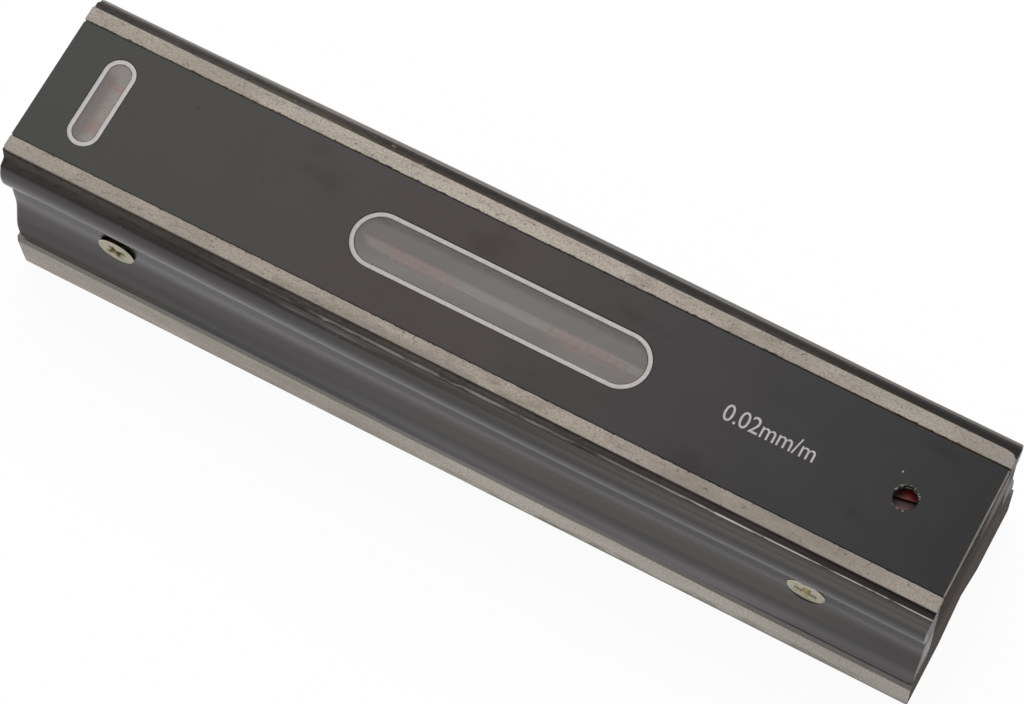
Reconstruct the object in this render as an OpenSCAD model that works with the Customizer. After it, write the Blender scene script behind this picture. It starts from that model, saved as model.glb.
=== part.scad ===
// Bar level for machine setting: a ground iron body with side grips, a main vial on an
// adjustable tray and a cross vial, under a black cover plate with two windows.
// X runs along the bar, Y across it and Z up from the sole.

/* [Body] */
// Length of the bar
body_l = 200; // [192:1:300]
// Width of the sole
base_w = 45; // [45:0.5:60]
// Height from the sole to the top lands
body_h = 45; // [44:0.5:60]
// Height of the ground base under the grips
base_h = 11.5; // [9:0.5:12]
// Width of the groove in the sole
vee_w = 17; // [14:0.5:20]
// Depth of the groove in the sole
vee_depth = 6.7; // [5.5:0.1:7.5]
// Thickness of the casting from the sole to the cavity
floor_h = 14; // [13:0.5:16]
// Width of the cavity
cavity_w = 23; // [22:0.5:24]
// Thickness of each end wall of the cavity
end_wall = 6; // [4:0.5:6.5]
// Width of the casting between the grips
core_w = 32; // [30:0.5:33]
// Width of each ground land
land_w = 3.2; // [2.5:0.1:3.5]
// Width of the shoulder outside each land
shoulder_w = 1.8; // [1:0.1:1.9]
// Drop from the land to the shoulder
shoulder_drop = 0.8; // [0.5:0.1:1.4]
// Thickness of the shoulder over a grip
shoulder_t = 0.7; // [0.5:0.1:1.2]
// Length of the end lip that covers the end of each grip
end_lip = 1.2; // [0.8:0.1:2]
// Chamfer on the ground edges of the bar
edge_chamfer = 0.5; // [0.2:0.1:0.8]

/* [Grips] */
// Width over the noses of the two grips
nose_w = 42.4; // [41.4:0.2:43.4]
// Depth of the widest part of the nose below the lands
nose_drop = 6.6; // [6:0.2:7.6]
// Radius of the nose
nose_r = 9; // [8.5:0.5:12]
// Width over the waists of the two grips
waist_w = 39.4; // [38.4:0.2:40.2]
// Height at which the waist begins to flare
flare_h = 27.5; // [25:0.5:29]
// Width over the feet of the two grips
foot_w = 43.8; // [41:0.2:43.9]
// Height at which the foot stands upright
foot_h = 16; // [14:0.2:18]
// Radius of the lower corners at the ends of a grip
grip_corner = 2.5; // [1:0.5:3]
// Depth of the lightening pockets in the back of a grip
pocket_depth = 1.4; // [0.6:0.1:1.6]
// Number of lightening pockets in a grip
pocket_count = 5; // [3:1:7]
// Width of the ribs between the pockets
rib_t = 3; // [2:0.5:5]
// Height left whole above and below the pockets
pocket_edge = 4; // [3:0.5:5]
// Diameter of the bosses round the grip screws
boss_d = 11; // [10:0.5:12]
// Distance of the grip screws from the ends of the bar
screw_inset = 24.5; // [18:0.5:40]
// Height of the grip screws
screw_h = 27.5; // [25:0.5:28.5]
// Thread diameter of the grip screws
screw_d = 4; // [3:0.5:4]
// Head diameter of the grip screws
head_d = 8; // [7:0.1:8.4]
// Depth of the screw heads below the waist
head_sink = 0.4; // [0.2:0.1:0.6]
// Length of a grip screw
screw_l = 7; // [6:0.5:8]
// Width of the cross recess in a grip screw
recess_w = 0.9; // [0.6:0.1:1]
// Length of the cross recess in a grip screw
recess_l = 4.4; // [3:0.2:5]
// Depth of the cross recess in a grip screw
recess_depth = 1.3; // [0.8:0.1:1.6]

/* [Cover] */
// Width of the cover plate's seat between the lands
cover_w = 28; // [26:0.5:30]
// Thickness of the cover plate
cover_t = 2; // [1.8:0.1:2.4]
// Depth of the cover plate below the lands
cover_drop = 0.2; // [0.1:0.1:0.4]
// Thickness of the seal under the cover plate
seal_t = 0.5; // [0.3:0.1:0.8]
// Gap between the cover plate and each end of the bar
cover_end = 0.2; // [0.1:0.1:0.5]
// Clear length of the main window
main_win_l = 62.2; // [50:0.2:70]
// Clear width of the main window
main_win_w = 10.2; // [8:0.2:12]
// Clear length of the cross window
cross_win_l = 18.2; // [14:0.2:20]
// Clear width of the cross window
cross_win_w = 5; // [4:0.2:6]
// Width of the rim round each window
bezel_w = 0.9; // [0.6:0.1:1.4]
// Thickness of the windows and their rims
window_t = 1.5; // [1:0.1:1.6]
// Width of the shelf under a window's edge
shelf_w = 0.6; // [0.4:0.1:1]
// Diameter of the access hole over the adjuster
access_d = 4.7; // [4:0.1:5.5]

/* [Main vial] */
// Outside diameter of the main vial
vial_d = 13; // [12:0.2:14]
// Bore of the main vial
vial_bore = 10.4; // [9:0.2:11]
// Length of the main vial
vial_l = 92; // [86:1:100]
// Thickness of a vial's cemented end discs
disc_t = 2; // [1.5:0.1:3]
// Room between the main vial and the cover plate
vial_room = 1.7; // [1.2:0.1:2.5]
// Length of the main bubble
bubble_l = 40; // [30:1:42]
// Travel of the main bubble to each side
bubble_travel = 20; // [10:1:20]
// Height of the main bubble's flat side above the vial's axis
bubble_rise = 2.6; // [2:0.1:3]

/* [Carrier] */
// Radial room for the bedding round the main vial
seat_t = 0.8; // [0.5:0.1:1.2]
// Length of each bedding collar
seat_l = 8; // [6:0.5:10]
// Wall of the trough that carries the main vial
trough_wall = 1.7; // [1.2:0.1:1.8]
// Room between the vial's ends and the trough's end plates
vial_end_room = 2; // [1:0.5:3]
// Height of the trough's rims above the vial's axis
rim_rise = 1; // [0:0.5:2]
// Thickness of the trough's end plates
end_plate = 3; // [2:0.5:4]
// Distance of the pivot from the trough's left end plate
pivot_reach = 5; // [4.8:0.1:6]
// Depth of the pivot below the vial's axis
pivot_drop = 4.6; // [3:0.2:5]
// Diameter of the pivot pin
pin_d = 4; // [3:0.5:4.5]
// Radius of the pivot lug
lug_r = 4; // [3.6:0.1:4.4]
// Width of the pivot lug
lug_w = 9; // [7:0.5:9.5]
// Thickness of each ear of the pivot block
ear_t = 4; // [3:0.5:4.5]
// Thickness of the pivot block's foot
foot_t = 4; // [3:0.5:5]
// Room round the screw heads on a foot
foot_edge = 1; // [0.5:0.1:1.5]
// Thread diameter of the screws inside the bar
small_d = 3; // [2.5:0.5:3]
// Head diameter of the screws inside the bar
small_head = 5.5; // [5:0.1:6]
// Head height of the screws inside the bar
small_head_h = 2.4; // [1.6:0.1:3]
// Depth of the threads in the casting's floor
tap_depth = 4.5; // [3.5:0.5:5]

/* [Adjuster] */
// Distance of the adjuster from the right end of the bar
adjuster_inset = 14.7; // [14:0.1:20]
// Thread diameter of the adjuster
adjuster_d = 4; // [3.5:0.1:4.5]
// Head diameter of the adjuster
adjuster_head = 7; // [6:0.1:8]
// Height of the adjuster's head
adjuster_head_h = 3; // [2:0.1:3.5]
// Width of the slot in the adjuster's head
slot_w = 1.2; // [0.8:0.1:1.4]
// Depth of the slot in the adjuster's head
slot_depth = 1; // [0.6:0.1:1.5]
// Room between the adjuster's head and the cover plate
head_room = 0.9; // [0.8:0.1:1.2]
// Thickness of the carrier's arm
arm_t = 5; // [4:0.5:6]
// Width of the carrier's arm
arm_w = 10; // [9:0.5:12]
// Height of the adjuster bush above the cavity floor
bush_h = 8; // [6:0.5:9]
// Outside diameter of the adjuster bush
bush_d = 9; // [8:0.5:10]
// Step from the bush to the spigot in the casting's floor
spigot_step = 1; // [0.6:0.1:1.2]
// Wire diameter of the adjuster spring
wire_d = 1; // [0.8:0.1:1.1]
// Mean diameter of the adjuster spring
coil_d = 7; // [6.6:0.1:7.4]
// Number of turns of the adjuster spring
coil_turns = 5; // [4:1:6]

/* [Cross vial] */
// Distance of the cross vial from the left end of the bar
cross_inset = 12.3; // [12:0.1:14]
// Outside diameter of the cross vial
cross_d = 8; // [7:0.2:8.6]
// Bore of the cross vial
cross_bore = 6; // [5:0.2:6.4]
// Length of the cross vial
cross_l = 22; // [21:0.2:22]
// Room at each end of the cross vial
cross_room = 0.3; // [0.2:0.1:0.5]
// Length of the cross bubble
cross_bubble_l = 6; // [4:0.5:7]
// Travel of the cross bubble to each side
cross_travel = 4; // [2:0.5:5]
// Height of the cross bubble's flat side above the vial's axis
cross_rise = 1.2; // [0.8:0.1:1.5]
// Wall of the cross vial's holder beside the vial
holder_wall = 1.5; // [1:0.1:1.6]
// Length of the foot of the cross vial's holder
holder_foot = 8; // [7:0.5:9]
// Distance of the holder's screws from the middle plane
holder_screw_y = 6; // [4:0.5:7]

/* [Fits] */
// Clearance between pieces that are let in or screwed down
fit = 0.05; // [0.02:0.01:0.1]
// Clearance round the grips
grip_gap = 0.1; // [0.05:0.05:0.3]
// Radial running clearance of pins and of the adjuster in the arm
run = 0.04; // [0.02:0.01:0.08]
// Clearance between a moving piece and what it passes
clear = 0.35; // [0.3:0.05:0.5]

/* [Hidden] */
$fn = 96;
cut = 1;
sides = [-1, 1];

// Section of the bar, as half widths and heights
land_in = cover_w / 2;
land_out = land_in + land_w;
shoulder_out = land_out + shoulder_w;
shoulder_top = body_h - shoulder_drop;
grip_in = core_w / 2;
waist_out = waist_w / 2;
foot_out = foot_w / 2;
nose_h = body_h - nose_drop;
nose_centre = nose_w / 2 - nose_r;
grip_top = shoulder_top - shoulder_t - grip_gap;
grip_l = body_l - 2 * (end_lip + grip_gap);
crease_h = nose_h - sqrt(pow(nose_r, 2) - pow(waist_out - nose_centre, 2));

// Flare of the grips: two curves of one radius with a straight run between them
flare_step = (foot_out - waist_out) / 2;
flare_rise = (flare_h - foot_h) / 2;
flare_r = 0.9 * (pow(flare_step, 2) + pow(flare_rise, 2)) / (2 * flare_step);
flare_dx = 2 * (flare_r - flare_step);
flare_dy = 2 * flare_rise;
flare_turn = atan2(flare_dy, flare_dx) - acos(2 * flare_r / norm([flare_dx, flare_dy]));
curve_in = flare_r * (1 - cos(flare_turn));
curve_rise = flare_r * sin(flare_turn);

// Screws of the grips
head_out = waist_out - head_sink;
head_cone = (head_d - screw_d) / 2;
screw_x = body_l / 2 - screw_inset;

// Heights of the cover plate and of what hangs under it
cover_l = body_l - 2 * cover_end;
cover_top = body_h - cover_drop;
cover_under = cover_top - cover_t;
ledge_h = cover_under - seal_t;
window_under = cover_top - window_t;
cavity_l = body_l - 2 * end_wall;

// Cross vial and its holder
cross_x = body_l / 2 - cross_inset;
cross_h = cover_under - vial_room - cross_d / 2;
cross_bubble_r = cross_bore / 2 - clear;
cross_low = cross_rise + clear;
cross_bubble_w = 2 * sqrt(pow(cross_bubble_r, 2) - pow(cross_low, 2)) - clear;
holder_w = cross_d + 2 * holder_wall;
holder_screw_x = (holder_w + holder_foot) / 2 - cross_x;
holder_edge = holder_screw_x + holder_foot / 2;

// Main vial, its tray and the pivot
vial_h = cover_under - vial_room - vial_d / 2;
bubble_r = vial_bore / 2 - clear;
bubble_low = bubble_rise + clear;
bubble_w = 2 * sqrt(pow(bubble_r, 2) - pow(bubble_low, 2)) - clear;
trough_in = vial_d / 2 + seat_t;
trough_out = trough_in + trough_wall;
trough_l = vial_l + 2 * vial_end_room;
pivot_l = trough_l / 2 + end_plate + pivot_reach;
pivot_h = vial_h - pivot_drop;
yoke_w = lug_w + 2 * (clear + ear_t);
foot_screw = lug_r + foot_edge + small_head / 2;
foot_l = 2 * (foot_screw + small_head / 2 + foot_edge);

// The vial lies in the middle of the bar, or far enough right for the pivot to clear the holder
vial_x = max(0, holder_edge + clear + foot_l / 2 + pivot_l);
pivot_x = vial_x - pivot_l;

// Adjuster
adjuster_x = body_l / 2 - adjuster_inset;
head_top = cover_under - head_room;
arm_top = head_top - adjuster_head_h - fit;
arm_under = arm_top - arm_t;
bush_top = floor_h + bush_h;
bush_low = floor_h - tap_depth + fit;
spigot_d = bush_d - 2 * spigot_step;
spring_low = bush_top + fit + wire_d / 2;
spring_high = arm_under - fit - wire_d / 2;

// A section in Y and Z, drawn out along the bar
module along_x(l) {
  rotate([90, 0, 90]) linear_extrude(l, center = true) children();
}

// Round bar along X, centred
module bar_x(d, l) {
  rotate([0, 90, 0]) cylinder(d = d, h = l, center = true);
}

// Round bar along Y, centred
module bar_y(d, l) {
  rotate([90, 0, 0]) cylinder(d = d, h = l, center = true);
}

// Tube along X, centred
module tube_x(d, bore, l) {
  difference() {
    bar_x(d, l);
    bar_x(bore, l + 2 * cut);
  }
}

// Block between two heights, centred in X and Y
module block(l, w, low, high) {
  translate([-l / 2, -w / 2, low]) cube([l, w, high - low]);
}

// Outline with round ends, along X
module round_slot(l, w) {
  square([l - w, w], center = true);
  for (s = sides)
    translate([s * (l - w) / 2, 0]) circle(d = w);
}

// Plate with round ends between two heights
module slot_plate(l, w, low, high) {
  translate([0, 0, low]) linear_extrude(high - low) round_slot(l, w);
}

// Places a shape at the main vial
module at_vial(h = 0) {
  translate([vial_x, 0, h]) children();
}

// Places a shape drawn along X across the bar at the cross vial
module at_cross() {
  translate([-cross_x, 0, 0]) rotate([0, 0, 90]) children();
}

// Bevel cutter for an edge that runs along Y
module edge_cutter(w) {
  side = edge_chamfer * sqrt(2);
  rotate([0, 45, 0]) cube([side, w, side], center = true);
}

// Section of a grip at the +Y side, from the casting to its outer surface
module grip_section() {
  intersection() {
    translate([nose_centre, nose_h]) circle(nose_r);
    translate([grip_in, crease_h]) square([base_w, grip_top - crease_h]);
  }
  intersection() {
    translate([foot_out - flare_r, foot_h]) circle(flare_r);
    translate([grip_in, foot_h]) square([base_w, curve_rise]);
  }
  difference() {
    polygon([[grip_in, base_h], [foot_out, base_h], [foot_out, foot_h],
      [foot_out - curve_in, foot_h + curve_rise], [waist_out + curve_in, flare_h - curve_rise],
      [waist_out, flare_h], [waist_out, nose_h], [grip_in, nose_h]]);
    intersection() {
      translate([waist_out + flare_r, flare_h]) circle(flare_r);
      translate([waist_out, flare_h - curve_rise]) square([base_w, curve_rise]);
    }
  }
}

// Section of the end lips, which follow the grips and close them off under the shoulder
module lip_section() {
  grip_section();
  translate([grip_in, nose_h]) square([shoulder_out - grip_in, shoulder_top - nose_h]);
}

// Section of the casting between the grips, with the groove in its sole
module bar_section() {
  c = edge_chamfer;
  half = base_w / 2;
  vee_out = vee_w / 2 * (1 + cut / vee_depth);
  difference() {
    union() {
      polygon([[c - half, 0], [half - c, 0], [half, c], [half, base_h - c], [half - c, base_h],
        [c - half, base_h], [-half, base_h - c], [-half, c]]);
      translate([-grip_in, base_h / 2]) square([core_w, shoulder_top - base_h / 2]);
      translate([-shoulder_out, shoulder_top - shoulder_t]) square([2 * shoulder_out, shoulder_t]);
      translate([-land_out, shoulder_top - shoulder_t]) square([2 * land_out, shoulder_t + shoulder_drop]);
    }
    polygon([[-vee_out, -cut], [vee_out, -cut], [0, vee_depth]]);
    translate([-land_in, ledge_h]) square([cover_w, body_h]);
  }
}

// Blind thread in the cavity's floor
module floor_hole(d) {
  translate([0, 0, floor_h - tap_depth]) cylinder(d = d, h = tap_depth + cut);
}

module body() {
  color("#a39d94") difference() {
    union() {
      along_x(body_l) bar_section();
      for (s = sides, m = [0, 1])
        mirror([0, m, 0]) translate([s * (body_l - end_lip) / 2, 0, 0]) along_x(end_lip) lip_section();
    }
    block(cavity_l, cavity_w, floor_h, body_h + cut);
    translate([-cross_x, 0, 0]) block(holder_w, cross_l + 2 * cross_room, floor_h, body_h + cut);
    for (s = sides, y = sides)
      translate([s * screw_x, y * (core_w + cavity_w) / 4, screw_h]) bar_y(screw_d, core_w - cavity_w);
    translate([adjuster_x, 0, 0]) floor_hole(spigot_d + 2 * fit);
    for (s = sides)
      translate([pivot_x + s * foot_screw, 0, 0]) floor_hole(small_d);
    for (s = sides)
      translate([holder_screw_x, s * holder_screw_y, 0]) floor_hole(small_d);
    for (s = sides, z = [0, body_h])
      translate([s * body_l / 2, 0, z]) edge_cutter(base_w + cut);
    for (s = sides, y = sides)
      translate([s * body_l / 2, y * base_w / 2, 0]) rotate([90, 0, 0]) edge_cutter(2 * base_h + cut);
  }
}

// Rounds off the lower corner at one end of a grip
module corner_cut(s) {
  difference() {
    translate([-s * grip_corner / 2, 0, grip_corner / 2])
      cube([grip_corner + cut, 2 * base_w, grip_corner + cut], center = true);
    translate([-s * grip_corner, 0, grip_corner]) bar_y(2 * grip_corner, 3 * base_w);
    translate([-s * (grip_corner + cut), 0, 0]) cube([2 * cut, 3 * base_w, 3 * base_w], center = true);
    translate([0, 0, grip_corner + cut]) cube([3 * base_w, 3 * base_w, 2 * cut], center = true);
  }
}

// Lightening pockets in the back of a grip, left whole round the screws
module grip_pockets() {
  pitch = grip_l / pocket_count;
  difference() {
    for (i = [0 : pocket_count - 1])
      translate([(i + 0.5) * pitch - grip_l / 2, grip_in, 0])
        block(pitch - rib_t, 2 * pocket_depth, base_h + pocket_edge, grip_top - pocket_edge);
    for (s = sides)
      translate([s * screw_x, grip_in, screw_h]) bar_y(boss_d, 2 * pocket_depth + cut);
  }
}

// Countersunk hole for a grip screw, drawn outwards along +Y from the axis
module screw_hole() {
  translate([0, head_out, 0]) {
    rotate([-90, 0, 0]) cylinder(d = head_d + 8 * fit, h = base_w);
    rotate([90, 0, 0]) cylinder(d1 = head_d + 2 * fit, d2 = screw_d + 2 * fit, h = head_cone);
    rotate([90, 0, 0]) cylinder(d = screw_d + 2 * fit, h = head_out - grip_in + cut);
  }
}

// Grip at the +Y side; the other one is its mirror image
module grip() {
  difference() {
    along_x(grip_l) grip_section();
    for (s = sides)
      translate([s * grip_l / 2, 0, base_h]) corner_cut(s);
    grip_pockets();
    for (s = sides)
      translate([s * screw_x, 0, screw_h]) screw_hole();
  }
}

module front_grip() {
  color("#1c1c1d") mirror([0, 1, 0]) grip();
}

module rear_grip() {
  color("#1c1c1d") grip();
}

// Countersunk screw with a cross recess, its head at the origin and its tip at -Y
module grip_screw() {
  rotate([90, 0, 0]) difference() {
    union() {
      cylinder(d1 = head_d, d2 = screw_d, h = head_cone);
      cylinder(d = screw_d - 2 * fit, h = screw_l);
    }
    for (a = [0, 90])
      rotate([0, 0, a]) cube([recess_l, recess_w, 2 * recess_depth], center = true);
  }
}

module grip_screws() {
  color("#c9b88a") for (s = sides, m = [0, 1])
    mirror([0, m, 0]) translate([s * screw_x, head_out, screw_h]) grip_screw();
}

// Opening for a window: a seat for the rim over a shelf
module window_opening(l, w) {
  rim = 2 * (bezel_w + fit);
  slot_plate(l + rim, w + rim, window_under, cover_top + cut);
  slot_plate(l - 2 * shelf_w, w - 2 * shelf_w, cover_under - cut, window_under + cut);
}

module window_bezel(l, w) {
  rim = 2 * bezel_w;
  difference() {
    slot_plate(l + rim, w + rim, window_under, cover_top);
    slot_plate(l, w, window_under - cut, cover_top + cut);
  }
}

module cover_plate() {
  color("#3e3c3a") difference() {
    block(cover_l, cover_w - 2 * fit, cover_under, cover_top);
    at_vial() window_opening(main_win_l, main_win_w);
    at_cross() window_opening(cross_win_l, cross_win_w);
    translate([adjuster_x, 0, 0]) cylinder(d = access_d, h = body_h + cut);
  }
}

module cover_seal() {
  color("#26262a") difference() {
    block(cover_l, cover_w - 2 * fit, ledge_h, cover_under);
    block(cavity_l, cavity_w, ledge_h - cut, cover_under + cut);
  }
}

module main_bezel() {
  color("#bdbab6") at_vial() window_bezel(main_win_l, main_win_w);
}

module cross_bezel() {
  color("#bdbab6") at_cross() window_bezel(cross_win_l, cross_win_w);
}

module main_window() {
  color("#9a9896") at_vial()
    slot_plate(main_win_l - 2 * fit, main_win_w - 2 * fit, window_under, cover_top);
}

module cross_window() {
  color("#9a9896") at_cross()
    slot_plate(cross_win_l - 2 * fit, cross_win_w - 2 * fit, window_under, cover_top);
}

module main_vial() {
  color("#c8d0cc") at_vial(vial_h) tube_x(vial_d, vial_bore, vial_l);
}

// End discs cemented into the bore of a vial that lies along X
module vial_discs(bore, l) {
  for (s = sides)
    translate([s * (l - disc_t) / 2, 0, 0]) bar_x(bore - 2 * fit, disc_t);
}

module main_vial_ends() {
  color("#aeb4b0") at_vial(vial_h) vial_discs(vial_bore, vial_l);
}

// Filling of a vial that lies along X, with the way of its bubble left open
module vial_filling(bore, l, way, rise) {
  difference() {
    bar_x(bore - 2 * fit, l - 2 * (disc_t + fit));
    block(way, 2 * bore, rise, bore);
  }
}

module main_fluid() {
  color("#b9c2a6") at_vial(vial_h)
    vial_filling(vial_bore, vial_l, bubble_l + 2 * (bubble_travel + clear), bubble_rise);
}

// Bubble lying under the top of a bore of radius r
module bubble(l, w, r, low) {
  intersection() {
    bar_x(2 * r, l + cut);
    slot_plate(l, w, low, r + cut);
  }
}

module main_bubble() {
  color("#e4e8e2") at_vial(vial_h) bubble(bubble_l, bubble_w, bubble_r, bubble_low);
}

// Tray for the main vial, with a lug at its pivot and an arm to the adjuster
module vial_carrier() {
  plate_x = (trough_l + end_plate) / 2;
  lug_l = pivot_reach + end_plate;
  arm_l = adjuster_x + arm_w / 2 - vial_x - trough_l / 2;
  color("#8d7a4f") difference() {
    union() {
      at_vial() difference() {
        translate([0, 0, vial_h]) tube_x(2 * trough_out, 2 * trough_in, trough_l + 2 * fit);
        block(trough_l + cut, 4 * trough_out, vial_h + rim_rise, body_h);
      }
      for (s = sides)
        translate([vial_x + s * plate_x, 0, 0])
          block(end_plate, 2 * trough_in, pivot_h - lug_r, arm_top);
      translate([pivot_x + lug_l / 2, 0, 0]) block(lug_l, lug_w, pivot_h - lug_r, pivot_h + lug_r);
      translate([pivot_x, 0, pivot_h]) bar_y(2 * lug_r, lug_w);
      translate([vial_x + (trough_l + arm_l) / 2, 0, 0]) block(arm_l, arm_w, arm_under, arm_top);
    }
    translate([pivot_x, 0, pivot_h]) bar_y(pin_d + 2 * run, lug_w + 2 * cut);
    translate([adjuster_x, 0, 0]) cylinder(d = adjuster_d + 2 * run, h = body_h);
  }
}

module vial_seats() {
  color("#d8d4c8") for (s = sides)
    at_vial(vial_h) translate([s * (vial_l - seat_l) / 2, 0, 0])
      tube_x(2 * (trough_in - fit), vial_d + 2 * fit, seat_l);
}

// Yoke on the cavity's floor that holds the pivot pin
module pivot_block() {
  color("#7c7a76") translate([pivot_x, 0, 0]) difference() {
    union() {
      block(foot_l, yoke_w, floor_h, floor_h + foot_t);
      for (s = sides)
        translate([0, s * (yoke_w - ear_t) / 2, 0]) {
          block(2 * lug_r, ear_t, floor_h, pivot_h);
          translate([0, 0, pivot_h]) bar_y(2 * lug_r, ear_t);
        }
    }
    translate([0, 0, pivot_h]) bar_y(pin_d + 2 * fit, yoke_w + 2 * cut);
    for (s = sides)
      translate([s * foot_screw, 0, floor_h - cut]) cylinder(d = small_d + 2 * fit, h = foot_t + 2 * cut);
  }
}

module pivot_pin() {
  color("#b4b2ae") translate([pivot_x, 0, pivot_h]) bar_y(pin_d, yoke_w);
}

// Slotted cheese-head screw that holds a foot to the cavity's floor
module floor_screw() {
  translate([0, 0, floor_h + foot_t]) difference() {
    union() {
      cylinder(d = small_head, h = small_head_h);
      translate([0, 0, fit - foot_t - tap_depth])
        cylinder(d = small_d - 2 * fit, h = foot_t + tap_depth);
    }
    translate([0, 0, small_head_h]) cube([small_head + cut, small_d / 4, small_head_h], center = true);
  }
}

module pivot_screws() {
  color("#b4b2ae") for (s = sides)
    translate([pivot_x + s * foot_screw, 0, 0]) floor_screw();
}

// Slotted screw that raises and lowers the free end of the tray
module adjuster_screw() {
  thread_d = adjuster_d - 2 * clear;
  thread_low = bush_low + cut;
  color("#8e1f1b") translate([adjuster_x, 0, 0]) difference() {
    union() {
      translate([0, 0, arm_top + fit]) cylinder(d = adjuster_head, h = adjuster_head_h);
      translate([0, 0, arm_under]) cylinder(d = adjuster_d, h = head_top - arm_under - slot_depth);
      translate([0, 0, thread_low]) cylinder(d = thread_d, h = arm_top - thread_low);
    }
    translate([0, 0, head_top]) cube([adjuster_head + cut, slot_w, 2 * slot_depth], center = true);
  }
}

module adjuster_bush() {
  color("#b08d4a") translate([adjuster_x, 0, 0]) difference() {
    union() {
      translate([0, 0, floor_h]) cylinder(d = bush_d, h = bush_h);
      translate([0, 0, bush_low]) cylinder(d = spigot_d, h = floor_h - bush_low + fit);
    }
    cylinder(d = adjuster_d, h = body_h);
  }
}

// Adjuster spring: rings of points round a helix, each ring joined to the next
coil_sides = 6;
turn_rings = 8;
coil_rings = turn_rings * coil_turns;
coil_rise = (spring_high - spring_low) / coil_turns;

function coil_point(i, j) =
  let (turn = 360 * i / turn_rings, side = 360 * j / coil_sides, r = (coil_d + wire_d * cos(side)) / 2)
  [r * cos(turn), r * sin(turn), spring_low + coil_rise * i / turn_rings + wire_d / 2 * sin(side)];

// Least distance between points of neighbouring turns
coil_gap = min([for (i = [0 : coil_rings - turn_rings], j = [0 : coil_sides - 1], k = [0 : coil_sides - 1])
  norm(coil_point(i + turn_rings, j) - coil_point(i, k))]);

module adjuster_spring() {
  n = coil_sides;
  points = [for (i = [0 : coil_rings], j = [0 : n - 1]) coil_point(i, j)];
  near = [for (j = [1 : n - 2]) [0, j, j + 1]];
  far = [for (j = [1 : n - 2]) [coil_rings * n, coil_rings * n + j + 1, coil_rings * n + j]];
  skin = [for (i = [0 : coil_rings - 1], j = [0 : n - 1], half = [0, 1])
    let (a = i * n + j, b = i * n + (j + 1) % n) half == 0 ? [a, a + n, b + n] : [a, b + n, b]];
  echo(coil_gap = coil_gap);
  color("#c2c0bb") translate([adjuster_x, 0, 0]) polyhedron(points, concat(near, far, skin));
}

module cross_vial() {
  color("#c8d0cc") at_cross() translate([0, 0, cross_h]) tube_x(cross_d, cross_bore, cross_l);
}

module cross_vial_ends() {
  color("#aeb4b0") at_cross() translate([0, 0, cross_h]) vial_discs(cross_bore, cross_l);
}

module cross_fluid() {
  way = cross_bubble_l + 2 * (cross_travel + clear);
  color("#b9c2a6") at_cross() translate([0, 0, cross_h])
    vial_filling(cross_bore, cross_l, way, cross_rise);
}

module cross_bubble() {
  color("#e4e8e2") at_cross() translate([0, 0, cross_h])
    bubble(cross_bubble_l, cross_bubble_w, cross_bubble_r, cross_low);
}

// Block with a round seat for the cross vial and a foot for its screws
module cross_holder() {
  color("#7c7a76") difference() {
    union() {
      translate([-cross_x, 0, 0]) block(holder_w, cross_l, floor_h, cross_h);
      translate([holder_screw_x - cut / 2, 0, 0])
        block(holder_foot + cut, cross_l, floor_h, floor_h + foot_t);
    }
    translate([-cross_x, 0, cross_h]) bar_y(cross_d + 2 * fit, cross_l + 2 * cut);
    for (s = sides)
      translate([holder_screw_x, s * holder_screw_y, floor_h - cut])
        cylinder(d = small_d + 2 * fit, h = foot_t + 2 * cut);
  }
}

module cross_holder_screws() {
  color("#b4b2ae") for (s = sides)
    translate([holder_screw_x, s * holder_screw_y, 0]) floor_screw();
}

body();
front_grip();
rear_grip();
grip_screws();
cover_plate();
cover_seal();
main_bezel();
cross_bezel();
main_window();
cross_window();
main_vial();
main_fluid();
main_bubble();
main_vial_ends();
vial_carrier();
vial_seats();
pivot_block();
pivot_pin();
pivot_screws();
adjuster_screw();
adjuster_bush();
adjuster_spring();
cross_vial();
cross_fluid();
cross_bubble();
cross_vial_ends();
cross_holder();
cross_holder_screws();
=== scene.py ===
import math

import bmesh
import bpy
from mathutils import Matrix, Vector


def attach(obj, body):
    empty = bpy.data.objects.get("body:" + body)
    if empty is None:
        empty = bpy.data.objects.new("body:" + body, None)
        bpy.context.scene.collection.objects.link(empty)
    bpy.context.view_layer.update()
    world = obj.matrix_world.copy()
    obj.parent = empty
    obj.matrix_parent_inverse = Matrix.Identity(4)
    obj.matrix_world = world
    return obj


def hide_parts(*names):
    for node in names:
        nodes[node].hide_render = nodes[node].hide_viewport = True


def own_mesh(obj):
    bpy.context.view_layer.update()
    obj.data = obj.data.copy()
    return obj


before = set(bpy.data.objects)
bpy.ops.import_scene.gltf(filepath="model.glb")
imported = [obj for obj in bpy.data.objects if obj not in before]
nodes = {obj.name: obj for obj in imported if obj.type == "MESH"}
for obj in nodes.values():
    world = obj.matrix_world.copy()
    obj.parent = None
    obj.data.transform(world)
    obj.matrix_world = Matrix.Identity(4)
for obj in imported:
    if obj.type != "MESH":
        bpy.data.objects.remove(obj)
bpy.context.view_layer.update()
mm = 0.001

cameraSetup = {  # where the photograph was taken from
    "place": (0.1410381, -0.2065578, 0.6498267),
    "right": (0.8772236, 0.4786682, -0.0368169),
    "up": (-0.4339988, 0.8234687, 0.3654371),
    "back": (0.2052406, -0.3045916, 0.9301076),
    "lens": 122.0331, "sensor": 36.0, "sees": (0.01, 50),
}


def addObject(name, data):
    made = bpy.data.objects.new(name, data)
    bpy.context.scene.collection.objects.link(made)
    return made


def turnBy(degrees, axis):
    return Matrix.Rotation(math.radians(degrees), 4, axis)


def makeCamera(setup):
    data = bpy.data.cameras.new("photoCamera")
    data.lens, data.sensor_width = setup["lens"], setup["sensor"]
    data.clip_start, data.clip_end = setup["sees"]
    camera = addObject("photoCamera", data)
    turn = Matrix([setup["right"], setup["up"], setup["back"]]).transposed()
    camera.matrix_world = Matrix.Translation(setup["place"]) @ turn.to_4x4()
    bpy.context.scene.camera = camera


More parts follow.
